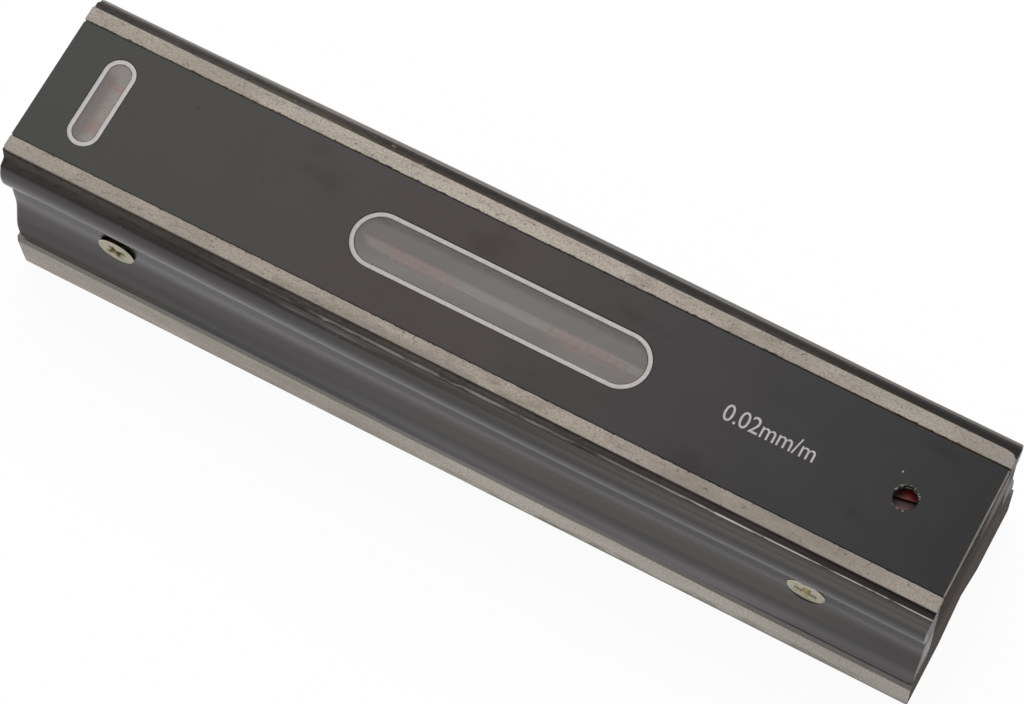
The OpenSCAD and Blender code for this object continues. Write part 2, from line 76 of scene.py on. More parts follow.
makeCamera(cameraSetup)


def feed(tree, slot, value):  # links a wire, or sets a plain value
    if isinstance(value, Wire):
        tree.links.new(value.socket, slot)
    else:
        slot.default_value = value


class Wire:
    def __init__(self, tree, socket):
        self.tree = tree
        self.socket = socket

    def out(self, key):  # another output of the same node
        return Wire(self.tree, self.socket.node.outputs[key])

    def maths(self, operation, first, second=0.0):
        made = self.tree.nodes.new("ShaderNodeMath")
        made.operation = operation
        feed(self.tree, made.inputs[0], first)
        feed(self.tree, made.inputs[1], second)
        return Wire(self.tree, made.outputs[0])

    def __add__(self, other):
        return self.maths("ADD", self, other)

    def __sub__(self, other):
        return self.maths("SUBTRACT", self, other)

    def __rsub__(self, other):
        return self.maths("SUBTRACT", other, self)

    def __mul__(self, other):
        return self.maths("MULTIPLY", self, other)

    def __gt__(self, other):
        return self.maths("GREATER_THAN", self, other)

    def __lt__(self, other):
        return self.maths("LESS_THAN", self, other)

    def __or__(self, other):  # the larger of two masks
        return self.maths("MAXIMUM", self, other)

    def __abs__(self):
        return self.maths("ABSOLUTE", self)

    __radd__, __rmul__, __ror__ = __add__, __mul__, __or__


class Nodes:
    def __init__(self, tree):
        self.tree = tree

    def node(self, kind, settings=None, sockets=None, out=0):
        made = self.tree.nodes.new(kind)
        for key, value in (settings or {}).items():
            if key == "stops":
                while len(made.color_ramp.elements) < len(value):
                    made.color_ramp.elements.new(1.0)
                for element, (place, colour) in zip(made.color_ramp.elements, value):
                    element.position, element.color = place, colour
            else:
                setattr(made, key, value)
        for key, value in (sockets or {}).items():
            feed(self.tree, made.inputs[key], value)
        return Wire(self.tree, made.outputs[out]) if len(made.outputs) else None


class Finish(Nodes):  # places and sizes in mm
    def __init__(self, name):
        self.material = bpy.data.materials.new(name)
        self.material.use_nodes = True
        super().__init__(self.material.node_tree)
        self.tree.nodes.clear()
        metres = self.node("ShaderNodeTexCoord", out="Object")
        self.spot = self.node("ShaderNodeVectorMath", {"operation": "SCALE"}, {0: metres, "Scale": 1 / mm})
        self.x = self.node("ShaderNodeSeparateXYZ", sockets={0: self.spot})
        self.y, self.z = self.x.out(1), self.x.out(2)
        self.tone = None

    def noise(self, size, detail, rough, squeeze=1, shift=(0, 0, 0), up=1):  # shift, in metres, to fresh grain
        spot = self.node("ShaderNodeMapping", sockets={  # a squeeze below 1 draws the grain out along X
            "Vector": self.spot, "Scale": (squeeze, 1, up), "Location": [s / mm for s in shift]})
        return self.node("ShaderNodeTexNoise", sockets={  # size is the grain in mm
            "Vector": spot, "Scale": 1 / size, "Detail": detail, "Roughness": rough})

    def band(self, value, low, high):  # rises from 0 to 1 between two values
        return self.node("ShaderNodeMapRange", {"interpolation_type": "SMOOTHSTEP"}, {
            "Value": value, "From Min": low, "From Max": high})

    def strip(self, value, low, full, fades, gone):  # rises, stays at 1, and falls again
        return self.band(value, low, full) * self.band(value, gone, fades)

    def inBox(self, x, y, soft):  # 1 inside a box seen from above
        along = self.strip(self.x, x[0] - soft, x[0] + soft, x[1] - soft, x[1] + soft)
        return along * self.strip(self.y, y[0] - soft, y[0] + soft, y[1] - soft, y[1] + soft)

    def near(self, place, radius, soft):  # 1 within a radius of a point
        away = self.node("ShaderNodeVectorMath", {"operation": "DISTANCE"}, {
            0: self.spot, 1: place}, "Value")
        return self.band(away, radius + soft, radius - soft)

    def blend(self, factor, low, high):  # from one colour to another
        sockets = {0: factor, 6: shade(low), 7: shade(high)}
        return self.node("ShaderNodeMix", {"data_type": "RGBA"}, sockets, 2)

    def coat(self, mask, colour):  # lays a colour over the tone so far
        self.tone = self.blend(mask, self.tone, colour)

    def ramp(self, value, stops):  # a colour, or a level of grey, for each place
        colours = [(place, shade(c) if isinstance(c, tuple) else (c, c, c, 1)) for place, c in stops]
        return self.node("ShaderNodeValToRGB", {"stops": colours}, {0: value})

    def attribute(self, name):
        return self.node("ShaderNodeAttribute", {"attribute_name": name}, out="Fac")

    def along(self):  # 0 at the bar's left end, 1 at its right
        return self.x * 0.005 + 0.5

    def middleDip(self):  # how far an edge is set back close to the bar's middle
        dip = self.x * self.x * 0.062 - 0.35
        return (dip < 0) * dip

    def bump(self, height, depth, strength):
        return self.node("ShaderNodeBump", sockets={
            "Height": height, "Distance": depth * mm, "Strength": strength})

    def shader(self, sockets):
        return self.node("ShaderNodeBsdfPrincipled", sockets=sockets)

    def end(self, surface):
        self.node("ShaderNodeOutputMaterial", sockets={"Surface": surface})
        return self.material

    def done(self, sockets):  # a plain surface with the tone so far
        return self.end(self.shader({"Base Color": self.tone, **sockets}))


crossZone = -70  # the cross window lies left of this
adjusterX = 85.3  # the adjuster's screw, spring and hole


def shade(colour):  # screen colours, 0 to 255, are made linear, and anything else passes
    if not isinstance(colour, tuple) or len(colour) != 3:
        return colour
    return (*(c / 255 / 12.92 if c <= 10 else ((c / 255 + 0.055) / 1.055) ** 2.4 for c in colour), 1.0)


def groundIronFinish():
    f = Finish("groundIron")
    grain = f.noise(0.45, 2, 0.6)
    cloud = f.noise(9, 3, 0.6, 0.35)
    lines = f.noise(0.5, 2, 0.5, 0.02)
    pit = f.band(f.noise(0.8, 3, 0.7, shift=(3, 1, 2)), 0.62, 0.72)
    land = f.z > 44.5
    patchy = f.band(cloud, 0.32, 0.7)
    side = f.blend(patchy, (158, 152, 142), (184, 178, 168))
    # near and far: painted shade, the lands darken from left to right (further along on the rear land),
    # standing in for light that falls off to the right
    near = f.blend(patchy, (130, 122, 111), (153, 144, 134))
    far = f.blend(patchy, (110, 103, 95), (134, 127, 119))
    side = f.blend(f.band(f.x, -30, 10) * 0.3, side, (206, 200, 190))
    f.tone = f.blend(land, side, f.blend(f.band(f.x - (f.y > 0) * 22, -30, 75), near, far))
    f.coat(land * (f.y > 0) * 0.12, (196, 186, 177))
    f.coat(f.band(grain, 0.35, 0.7) * 0.6, (112, 104, 95))
    blotch = f.band(f.noise(2.8, 4, 0.7, 0.5, (0, 6, 2)), 0.5, 0.68) * land
    f.coat(blotch * (0.12 + f.strip(f.x, -50, 10, 40, 70) * 0.3), (96, 88, 78))
    dash = f.band(f.noise(0.7, 2, 0.6, 0.35, (2, 2, 0)), 0.56, 0.7) * land
    f.coat(dash * 0.4, (86, 78, 70))
    f.coat(pit * 0.75, (60, 53, 47))
    ragged = f.noise(0.9, 3, 0.65, 0.6, (5, 0, 0)) - 0.5
    inner = f.band(abs(f.y) + ragged * 1.7, 14.1, 13.9) * land
    f.coat(inner * 0.9, (40, 35, 32))
    # stain: real stains near the bottom, plus painted shade along the bottom edge where it meets the floor,
    # stronger to the right
    stain = f.band(f.noise(6, 4, 0.65, 0.35, (0, 4, 1), 1.4), 0.44, 0.6) * f.band(f.z, 4.8, 0.8)
    f.coat(stain * (0.3 + f.band(f.x, -30, 30) * 0.65), (104, 93, 76))
    dim = f.inBox((-40, 4), (-18, -15.8), 0.7) * f.band(cloud, 0.3, 0.5)
    f.coat(dim * land * 0.4, (88, 82, 76))  # a dull patch on the front land
    # painted shade: the lowest edge darkens from the middle rightwards, where the bar meets the floor
    f.coat(f.band(f.z, 2, 0.5) * f.band(f.x, 15, 35) * 0.6, (84, 77, 66))
    f.coat(f.band(f.x, 55, 90) * f.band(f.z, 20, 18) * 0.2, (112, 102, 92))
    ledge = f.strip(f.z, 10.05, 10.35, 12.8, 13)  # the rough strip above the ground side
    f.coat(ledge, f.blend(f.band(f.x, 0, 60), (112, 108, 103), (92, 89, 85)))
    # painted shade: a thin dark line along the base's top edge, as in a shadowed gap, stronger to the right
    gapShade = f.strip(f.z, 9.9, 10.12, 10.28, 10.5) * f.band(f.x, -50, 40)
    f.coat(gapShade * f.band(f.noise(3, 3, 0.6, 0.15), 0.3, 0.5) * 0.75, (52, 48, 44))
    return f.done({
        "Metallic": 0.5 - land * 0.2 - pit * 0.25, "Roughness": 0.45 + grain * 0.2 + pit * 0.2,
        "Normal": f.bump(grain * 0.5 + lines * 0.5 - pit, 0.03, 0.5)})


def darkPaintFinish():
    f = Finish("darkPaint")
    smear = f.noise(4, 4, 0.65, 0.15)
    grit = f.noise(0.7, 3, 0.6, 0.4)
    far = f.band(f.x, 10, 110)
    f.tone = f.blend(f.band(smear, 0.35, 0.7), (62, 57, 53), (86, 80, 75))
    f.coat(far, f.blend(smear, (20, 18, 17), (44, 38, 34)))
    f.coat(f.band(grit, 0.5, 0.66) * 0.4, (24, 21, 19))
    left = f.band(f.x, -30, -52)
    # painted light on the step face below the land, stronger at the left, lifting the shade it sits in
    f.coat(f.band(f.z, 44.3, 44.4) * (0.15 + left * 0.7), (136, 127, 119))
    f.coat(f.band(abs(f.y), 17.3, 18.5) * (0.7 - left * 0.2), (30, 27, 25))
    # painted light on the front skirt, from the left middle rightwards, filling the shade under the shoulder's
    # edge
    skirt = f.strip(f.z, 43, 43.4, 43.8, 44) * (f.y < 0)
    f.coat(skirt * f.band(f.x, -52, -24), (84, 81, 78))
    chip = f.band(f.noise(1.6, 3, 0.7, 0.4, (1, 0, 4)), 0.69, 0.72)
    f.coat(chip * 0.7, (120, 108, 96))
    bare = f.ramp(f.along(), (  # how bright the front edge is, from left to right: partly bare worn iron, partly a painted highlight
        (0.22, 0), (0.34, 0.2), (0.5, 0.38), (0.65, 0.18), (0.73, 0.35), (0.79, 0.95), (1.0, 0.9)))
    edge = f.band(f.z, 44.02, 44.1) * f.band(f.y - f.middleDip(), -18.46, -18.58)
    worn = f.band(f.noise(2, 4, 0.7, 0.2, (0, 0, 2)), 0.34, 0.56)
    f.coat(edge * bare * worn, (178, 176, 170))
    return f.done({
        "Roughness": 0.5 + smear * 0.2, "Specular IOR Level": 0.12,
        "Normal": f.bump(smear, 0.08, 0.4)})


def endIronFinish():
    f = Finish("endIron")
    rust = f.noise(6, 5, 0.65)
    grain = f.noise(0.8, 3, 0.6)
    f.tone = f.blend(f.band(rust, 0.35, 0.68), (34, 28, 24), (60, 49, 41))
    pale = f.band(f.y + rust * 12, 6, 20) * f.band(f.z + rust * 8, 32, 40)
    f.coat(f.band(f.z + rust * 10, 36, 22) * 0.4, (92, 86, 80))
    f.coat(f.band(f.z + rust * 6, 38, 44) * 0.5, (22, 17, 14))
    pale = pale | f.band(f.z, 43, 43.8) * f.band(f.y, -13.2, -14.2)
    f.coat(pale, (120, 114, 111))
    f.coat(f.band(grain, 0.6, 0.75) * 0.5, (32, 28, 25))
    return f.done({
        "Roughness": 0.6 + rust * 0.2, "Specular IOR Level": 0.03,
        "Normal": f.bump(grain + rust, 0.06, 0.5)})


def gripGlossFinish():
    f = Finish("gripGloss")
    haze = f.noise(16, 4, 0.6, 0.25)
    streak = f.noise(2.2, 3, 0.6, 0.04)
    dust = f.band(f.noise(1.2, 2, 0.6, shift=(2, 7, 0)), 0.70, 0.75)
    f.tone = f.blend(f.band(haze, 0.35, 0.7), (27, 25, 25), (41, 39, 38))
    f.coat(dust * 0.35, (120, 116, 108))
    low = f.band(f.z, 14.2, 12.1) * f.band(f.noise(5, 4, 0.6, 0.3), 0.4, 0.7)
    f.coat(low * 0.35, (96, 90, 80))
    edgeSheen = f.band(f.z, 40.6, 42.8) * f.band(f.x, -70, 65) * (f.y < 0)  # painted highlight under the front edge, stronger to the right
    f.coat(edgeSheen * 0.9, (88, 85, 82))
    # painted light: a lighter band along the middle of the flank, standing in for its reflection
    middle = f.strip(f.z, 19.5, 21.5, 24, 26.2) * f.strip(f.x, -40, 20, 70, 100)
    f.coat(middle * 0.8, (64, 60, 58))
    scuff = f.strip(f.x, -56, -40, -26, -12) * f.band(f.z, 43.1, 43.3) * (f.y < 0)
    scuff = scuff * f.band(f.noise(4, 3, 0.6, 0.12, (0, 3, 3)), 0.42, 0.68)
    f.coat(scuff * 0.45, (150, 150, 153))
    farEdgeSheen = f.band(f.y + f.middleDip(), 19.3, 19.6) * f.band(f.z, 42.5, 43.1)
    f.coat(farEdgeSheen * 0.7, (118, 114, 110))  # painted highlight along the rear grip's top edge
    rough = 0.2 + haze * 0.12 + streak * 0.06 + dust * 0.3
    wave = f.bump(streak * 0.6 + haze, 0.12, 0.25)
    warm = {"Base Color": f.tone, "Specular Tint": (1.0, 0.94, 0.925, 1.0), "Normal": wave}
    gloss = f.shader({**warm, "Roughness": rough})
    dull = f.shader({**warm, "Roughness": 0.4 + rough, "Specular IOR Level": 0.08})
    # The dull mix stands in for shade in the reflections: painted shade on the foot, around the crease, at the
    # front top edge, towards the right and on the rear grip's right part
    footShade = f.ramp(f.along(), (
        (0.05, 0.86), (0.2, 0.82), (0.35, 0.78), (0.5, 0.6), (0.65, 0.52), (0.8, 0.37), (0.95, 0.62)))
    fade = f.band(f.x, -60, 35) * 0.26
    left = f.band(f.x, -10, -50)
    foot = f.band(f.z, left * 4 + 19.5, 14.5 - left * 0.5)
    waist = f.strip(f.z, 27.7, 29.4, 33.5, 34.7)
    fade = fade + foot * (footShade - fade) + waist * 0.25 + f.band(f.z, 42.3, 43) * (f.y < 0) * 0.6
    fade = fade + f.band(f.x, -20, 90) * (f.y > 0) * 0.3
    return f.end(f.node("ShaderNodeMixShader", sockets={0: fade, 1: gloss, 2: dull}))


def coverSatinFinish():
    f = Finish("coverSatin")
    cloud = f.noise(30, 4, 0.55)
    grain = f.noise(0.6, 2, 0.5)
    # painted light: the cover darkens from left to right, standing in for the lamp's reflection falling off
    # across it
    f.tone = f.ramp(f.along() + cloud * 0.06 - 0.03, (
        (0.03, (54, 54, 52)), (0.2, (53, 51, 48)), (0.32, (55, 48, 48)),
        (0.5, (51, 44, 43)), (0.7, (36, 33, 34)), (0.88, (20, 19, 19)),
        (0.98, (5, 5, 5))))
    smudge = f.band(f.noise(11, 4, 0.65, 0.5, (4, 2, 0)), 0.56, 0.75)
    f.coat(smudge * 0.12, (24, 22, 20))
    speck = f.band(f.noise(1.3, 2, 0.5, shift=(1, 3, 0)), 0.735, 0.765)
    f.coat(speck * 0.5, (24, 22, 20))
    chip = f.near((82.6, 4.4, 44.8), 0.16, 0.12)
    bare = f.band(f.y, -0.2, 1) | f.band(f.y, -1.9, -2.3)
    bare = bare * f.band(f.noise(0.5, 2, 0.6), 0.5, 0.6)
    rim = f.near((adjusterX, 0, 44.8), 2.72, 0.12) * bare  # of the adjuster's hole
    edges = f.band(f.z, 44.52, 44.62) | f.band(f.z, 43.2, 43)  # of the cover's end
    worn = f.band(f.x, 99.6, 99.75) * edges * (0.35 + f.noise(4, 3, 0.6) * 0.4)
    f.coat(chip | rim * 0.7 | worn, (156, 149, 140))
    return f.done({
        "Roughness": 0.42 + cloud * 0.1 + smudge * 0.08, "Specular IOR Level": 0.22,
        "Normal": f.bump(grain, 0.01, 0.3)})


def zincYellowFinish():
    f = Finish("zincYellow")
    mottle = f.noise(1.4, 4, 0.6)
    f.tone = f.ramp(mottle, (
        (0.3, (138, 131, 98)), (0.5, (160, 154, 132)), (0.72, (176, 166, 154))))
    depth = f.attribute("depth")  # 1 down the recess, -1 on the head's edge
    # the recess keeps the plating's golden colour, with painted shade that darkens it further down
    deep = f.blend(f.band(mottle, 0.3, 0.7), (74, 62, 34), (168, 148, 96))
    f.coat(f.band(depth, 0.1, 0.5) * 0.9, deep)
    # painted highlight on the head's rim
    edge = f.band(depth, -0.3, -0.8)
    f.coat(edge * 0.8, (236, 230, 214))
    return f.done({
        "Metallic": 0.65, "Roughness": 0.28 + mottle * 0.2 - edge * 0.12,
        "Normal": f.bump(mottle, 0.03, 0.5)})


def rimGreyFinish():
    f = Finish("rimGrey")
    fine = f.noise(0.8, 3, 0.6)
    f.tone = f.blend(f.band(fine, 0.3, 0.75), (148, 144, 142), (164, 161, 159))
    f.coat((f.x < crossZone) * 0.35, (180, 177, 175))
    return f.done({"Metallic": 0.2, "Roughness": 0.42 + fine * 0.15})


def windowClearFinish():
    f = Finish("windowClear")
    haze = f.noise(12, 3, 0.6, 0.5)
    left = f.band(f.x, -10, -24)
    f.tone = f.blend(left, f.blend(haze, (106, 102, 98), (112, 108, 104)), (122, 117, 113))
    f.coat(f.band(f.y, 2.6, 4.2) * 0.8, (86, 83, 79))  # duller towards the rear
    f.coat(f.band(f.x, 8, 22) * f.band(f.y, -2.1, -2.5), (124, 118, 115))
    sheen = f.inBox((-40, 31.6), (-2, -0.1), 0.2)  # painted highlight: the vial's long gleam, painted on the pane
    sheen = sheen * f.band(f.x + f.y, -30.2, -28.4)
    f.coat(sheen, f.blend(left, (125, 120, 116), (137, 131, 128)))
    patch = f.inBox((-24, -8.5), (-2.4, 0.3), 1)
    patch = patch | f.inBox((11.5, 28), (-3.2, 0.2), 1)
    patch = patch * f.band(f.noise(3.5, 3, 0.6, 0.7, (2, 0, 0)), 0.3, 0.55)
    f.coat(patch * 0.2, (156, 114, 112))
    across = f.x < crossZone
    # painted light on the right half of the cross window, where the vial's highlight falls
    lit = f.band(f.x + f.noise(6, 3, 0.6) * 1.2, -88.2, -86.2) * across
    pink = f.inBox((-89, -84), (3.6, 4.9), 0.6)
    pink = pink | f.inBox((-87.6, -84), (-6.6, -3.8), 1)
    f.coat(across, (130, 124, 121))
    f.coat(lit, f.blend(f.noise(1.6, 3, 0.6), (134, 129, 122), (152, 146, 139)))
    f.coat(f.inBox((-91, -87.2), (6.4, 9), 1) * 0.7, (158, 152, 148))
    f.coat(pink * 0.6, (150, 114, 110))
    return f.done({
        "Roughness": 0.15 + haze * 0.1, "Alpha": 0.56 + haze * 0.06, "Specular IOR Level": 0.3})


def clearFinish(name, low, high, alpha, rough, shine):
    f = Finish(name)
    drift = f.noise(8, 3, 0.5, 0.4)
    f.tone = f.blend(drift, low, high)
    return f.done({
        "Roughness": rough + drift * 0.04, "Alpha": alpha + drift * 0.06, "Specular IOR Level": shine})


def vialGlassFinish():  # hazy glass, with a faint red tint where the marks have bled
    f = Finish("vialGlass")
    drift = f.noise(8, 3, 0.5, 0.4)
    f.tone = f.blend(drift, (146, 140, 137), (156, 150, 147))
    crown = f.inBox((-28.8, 34), (-0.6, 1), 0.3) * (f.z > 40.5)  # painted highlight where the top catches the light
    f.coat(crown * 0.9, (228, 222, 217))
    bled = f.inBox((-24.5, -9.5), (-0.6, 1.2), 0.9)
    bled = bled | f.inBox((11.2, 27.2), (-1.8, 0.8), 0.8)
    f.coat(bled * 0.85, (204, 132, 128))
    solid = 1 - f.attribute("bore") * 0.95  # the bore's wall hardly shows
    return f.done({
        "Roughness": 0.03 + drift * 0.02, "Alpha": (0.5 + drift * 0.08 + crown * 0.25) * solid,
        "Metallic": 0.7 - crown * 0.65, "Specular IOR Level": 1.0})


def metalFinish(name, low, high, rough, squeeze=1):
    f = Finish(name)
    grain = f.noise(0.6, 3, 0.55, squeeze)
    stain = f.noise(6, 4, 0.6)
    f.tone = f.blend(f.band(stain, 0.3, 0.7), low, high)
    return f.done({
        "Metallic": 0.85, "Roughness": rough + grain * 0.15, "Normal": f.bump(grain, 0.02, 0.4)})


def plainFinish(name, low, high, rough, size=2):
    f = Finish(name)
    fine = f.noise(size, 4, 0.6)
    f.tone = f.blend(f.band(fine, 0.3, 0.7), low, high)
    return f.done({"Roughness": rough + fine * 0.12, "Normal": f.bump(fine, 0.03, 0.4)})


def tickInkFinish():  # faded red, almost gone at the left
    f = Finish("tickInk")
    fine = f.noise(0.8, 3, 0.6)
    f.tone = f.blend(f.band(fine, 0.3, 0.7), (168, 84, 86), (186, 104, 104))
    f.coat(f.band(f.x, 6, -6) * 0.85, (198, 182, 177))
    return f.done({"Roughness": 0.5 + fine * 0.12, "Specular IOR Level": 0.1})


def redLacquerFinish():
    f = Finish("redLacquer")
    thick = f.noise(1.8, 4, 0.6)
    f.tone = f.blend(f.band(thick, 0.35, 0.68), (84, 20, 20), (124, 42, 40))
    # painted shade: darker below the head's top, in the slot and down its sides
    f.coat(f.band(f.z, 41.8, 41.6), (58, 22, 24))
    # painted shade: a dark patch where the hole's edge shades the head, and a band along its front side
    dull = f.near((83.8, 1.2, 41.9), 0.9, 0.6)
    dull = dull | f.band(f.y - (f.x - adjusterX) * 0.18, -0.6, -1)
    f.coat(dull * 0.75, (62, 42, 44))
    return f.done({
        "Roughness": 0.3 + thick * 0.15, "Specular IOR Level": 0.2,
        "Normal": f.bump(thick, 0.2, 0.5)})


groundIron, darkPaint = groundIronFinish(), darkPaintFinish()
endIron = endIronFinish()
gripGloss, coverSatin = gripGlossFinish(), coverSatinFinish()
zincYellow, rimGrey = zincYellowFinish(), rimGreyFinish()
windowClear, redLacquer = windowClearFinish(), redLacquerFinish()
vialGlass = vialGlassFinish()
vialFluid = clearFinish("vialFluid", (186, 174, 168), (200, 187, 181), 0.9, 0.3, 0.3)
bubbleAir = clearFinish("bubbleAir", (150, 143, 139), (162, 155, 151), 0.12, 0.3, 0.3)
brass = metalFinish("brass", (150, 122, 66), (186, 156, 92), 0.3)
steel = metalFinish("steel", (128, 126, 122), (164, 161, 156), 0.3)
blockSteel = metalFinish("blockSteel", (92, 90, 88), (122, 119, 114), 0.42, 0.1)
bedding = plainFinish("bedding", (196, 190, 176), (222, 217, 204), 0.75)
sealBlack = plainFinish("sealBlack", (24, 24, 25), (38, 37, 37), 0.7)
markGrey = plainFinish("markGrey", (150, 148, 146), (172, 170, 168), 0.5, 0.6)
tickInk = tickInkFinish()
print("finishes:", len(bpy.data.materials))


def ring(centre, radius, first, last, count):  # points of an arc, angles in degrees
    turns = [math.radians(first + (last - first) * i / count) for i in range(count + 1)]
    return [(centre[0] + radius * math.cos(a), centre[1] + radius * math.sin(a)) for a in turns]


def softCorner(before, corner, after, radius, count):  # a fillet in place of a corner
    b, c, a = (Vector((*p, 0)) for p in (before, corner, after))
    inward, outward = (b - c).normalized(), (a - c).normalized()
    half = inward.angle(outward) / 2
    reach = radius / math.tan(half)
    middle = c + (inward + outward).normalized() * radius / math.sin(half)
    first, last = c + inward * reach - middle, c + outward * reach - middle
    points = []
    for i in range(count + 1):
        points.append(tuple((middle + first.slerp(last, i / count))[:2]))
    return points


def drawnIn(points, depths):  # a closed outline moved inwards, point by point
    area = sum(p[0] * q[1] - q[0] * p[1] for p, q in zip(points, points[1:] + points[:1]))
    side = 1 if area > 0 else -1
    moved = []
    for i, point in enumerate(points):
        p, a, b = Vector(point), Vector(points[i - 1]), Vector(points[(i + 1) % len(points)])
        e1, e2 = (p - a).normalized(), (b - p).normalized()
        n1, n2 = Vector((-e1.y, e1.x)) * side, Vector((-e2.y, e2.x)) * side
        out = (n1 + n2) / max(1 + n1.dot(n2), 0.3)
        moved.append(tuple(p + out * depths[i]))
    return moved


def newPiece(name, mesh, *finishes):
    mesh.materials.clear()
    for finish in finishes:
        mesh.materials.append(finish)
    return addObject(name, mesh)


def settle(piece, name=None):  # turns what the modifiers, or a curve, make into a plain mesh
    bpy.context.view_layer.update()
    ready = piece.evaluated_get(bpy.context.evaluated_depsgraph_get())
    mesh = bpy.data.meshes.new_from_object(ready)
    if piece.type == "MESH":
        piece.modifiers.clear()
        piece.data = mesh
        return piece
    finishes = list(piece.data.materials)
    bpy.data.objects.remove(piece)
    return newPiece(name, mesh, *finishes)


def smooth(piece, angle):  # edges sharper than the angle stay crisp
    piece.data.shade_smooth()
    piece.data.set_sharp_from_angle(angle=math.radians(angle))
    return piece


def dress(piece, body, node):  # what a piece rides on, and the node it stands for
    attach(piece, body)
    if node:
        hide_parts(node)


def mend(bm, mesh, gap):  # merges doubles and turns the faces outwards
    bmesh.ops.remove_doubles(bm, verts=bm.verts, dist=gap)
    bmesh.ops.recalc_face_normals(bm, faces=bm.faces)
    bm.to_mesh(mesh)
    bm.free()
    return mesh


def closeMesh(name, bm):
    return mend(bm, bpy.data.meshes.new(name), 1e-7)


def loft(bm, rings, closed=True):  # skins rings of equal count, capped at both ends
    rows = [[bm.verts.new(Vector(p) * mm) for p in points] for points in rings]
    n = len(rows[0])
    for low, high in zip(rows, rows[1:]):
        for i in range(n):
            bm.faces.new((low[i], low[(i + 1) % n], high[(i + 1) % n], high[i]))
    if closed:
        bm.faces.new(list(reversed(rows[0])))
        bm.faces.new(rows[-1])
    return rows


def turned(name, profile, count=48, closed=True):  # a turned piece on the Z axis from radius and height
    turns = [2 * math.pi * i / count for i in range(count)]
    bm = bmesh.new()
    loft(bm, [[(r * math.cos(a), r * math.sin(a), z) for a in turns] for r, z in profile], closed)
    return closeMesh(name, bm)


def cutAway(piece, tools):  # takes tools out of a piece
    for tool in tools:
        cut = piece.modifiers.new("cut", "BOOLEAN")
        cut.operation, cut.solver, cut.object = "DIFFERENCE", "EXACT", tool
    settle(piece)
    for tool in tools:
        bpy.data.objects.remove(tool)


gripShape = {
    "noseCentre": (12.2, 38.4), "noseRadius": 9.0, "top": 43.4,
    "waist": 19.7, "flareTop": 27.5, "foot": 21.95, "footTop": 16.0, "low": 11.92,
    "back": 15.02, "frontEnds": (98.95, 99.95), "rearEnds": (99.9, 99.7), "endRound": 0.2,
    "corner": 2.5, "bow": 0.35, "bowHalf": 75.0, "flareShare": 0.9,
    "topRound": 1.0, "creaseRound": 0.7, "footRound": 0.1,
    "noseSteps": 20, "flareSteps": 8, "roundSteps": 4,
    "endRows": (0, 0.06, 0.2, 0.8, 1.3, 1.9, 2.5),  # in from each end
    "screwRows": (75.5, 1.25, 5),  # the middle one, their step, and how many to each side
    "wideRows": [0, 10, 20, 30, 40, 50, 60, 86, 92],
    "pocket": 4.06, "pocketMouth": 26, "seat": 19.8, "hole": 2.05, "holeTop": 16.9, "holeEnd": 14,
    "proudLift": 0.6, "proudLess": 0.3,  # a head that stands proud is off the middle of a tighter pocket
}
screwSpots = {  # where each grip screw's head sits: along, up, out, and how far it was turned
    "frontLeft": (-75.2, 27.1, 20.45, 24), "frontRight": (75.5, 28.3, 19.8, -8),
    "rearLeft": (-75.5, 27.8, 19.8, 40), "rearRight": (75.5, 27.8, 19.8, 8),
}


def gripOutline(s):  # outer line of a grip at +Y, from its top edge down to its foot
    cy, cz = s["noseCentre"]
    r, few = s["noseRadius"], s["roundSteps"]
    step, rise = (s["foot"] - s["waist"]) / 2, (s["flareTop"] - s["footTop"]) / 2
    flare = s["flareShare"] * (step * step + rise * rise) / (2 * step)
    dx, dy = 2 * (flare - step), 2 * rise
    turn = math.degrees(math.atan2(dy, dx) - math.acos(2 * flare / math.hypot(dx, dy)))
    nose = ring((cy, cz), r, math.degrees(math.asin((s["top"] - cz) / r)),
                -math.degrees(math.acos((s["waist"] - cy) / r)), s["noseSteps"])
    flareIn = ring((s["waist"] + flare, s["flareTop"]), flare, 180, 180 + turn, s["flareSteps"])
    flareOut = ring((s["foot"] - flare, s["footTop"]), flare, turn, 0, s["flareSteps"])
    top = softCorner((s["back"], s["top"]), nose[0], nose[1], s["topRound"], few)
    crease = softCorner(nose[-2], nose[-1], flareIn[0], s["creaseRound"], few)
    return top + nose[1:-1] + crease + flareIn + flareOut


def bowed(x):  # the grips stand out a little between their screws
    return gripShape["bow"] * max(0, 1 - (x / gripShape["bowHalf"]) ** 2)


def gripStations(s, left, right):  # rows along a grip, closer together at its ends and screws
    middle, step, count = s["screwRows"]
    half = sorted(set([middle + step * i for i in range(-count, count + 1)] + s["wideRows"]))
    span = [-x for x in reversed(half) if x] + half
    return [d - left for d in s["endRows"]] + span + [right - d for d in reversed(s["endRows"])]


def gripMesh(s, left, right):
    low, foot, r = s["low"], s["foot"], s["footRound"]
    sole = [(foot, low + r), (foot - r, low), (s["back"], low)]
    closed = [(s["back"], s["top"])] + gripOutline(s) + sole
    upper = len(closed) - len(sole)
    rings = []
    for x in gripStations(s, left, right):
        away = min(left + x, right - x)
        inset = s["endRound"] - math.sqrt(max(0, s["endRound"] ** 2 - max(0, s["endRound"] - away) ** 2))
        bend = max(0, s["corner"] - away)
        lift = s["corner"] - math.sqrt(s["corner"] ** 2 - bend ** 2)
        points = drawnIn(closed, [inset] * upper + [min(inset, r / 3)] * len(sole))
        lifted = [(y, z + (lift if i >= upper else 0)) for i, (y, z) in enumerate(points)]
        rings.append([(x, y + (bowed(x) if y > s["back"] + 1 else 0), z) for y, z in lifted])
    bm = bmesh.new()
    loft(bm, rings)
    return bm


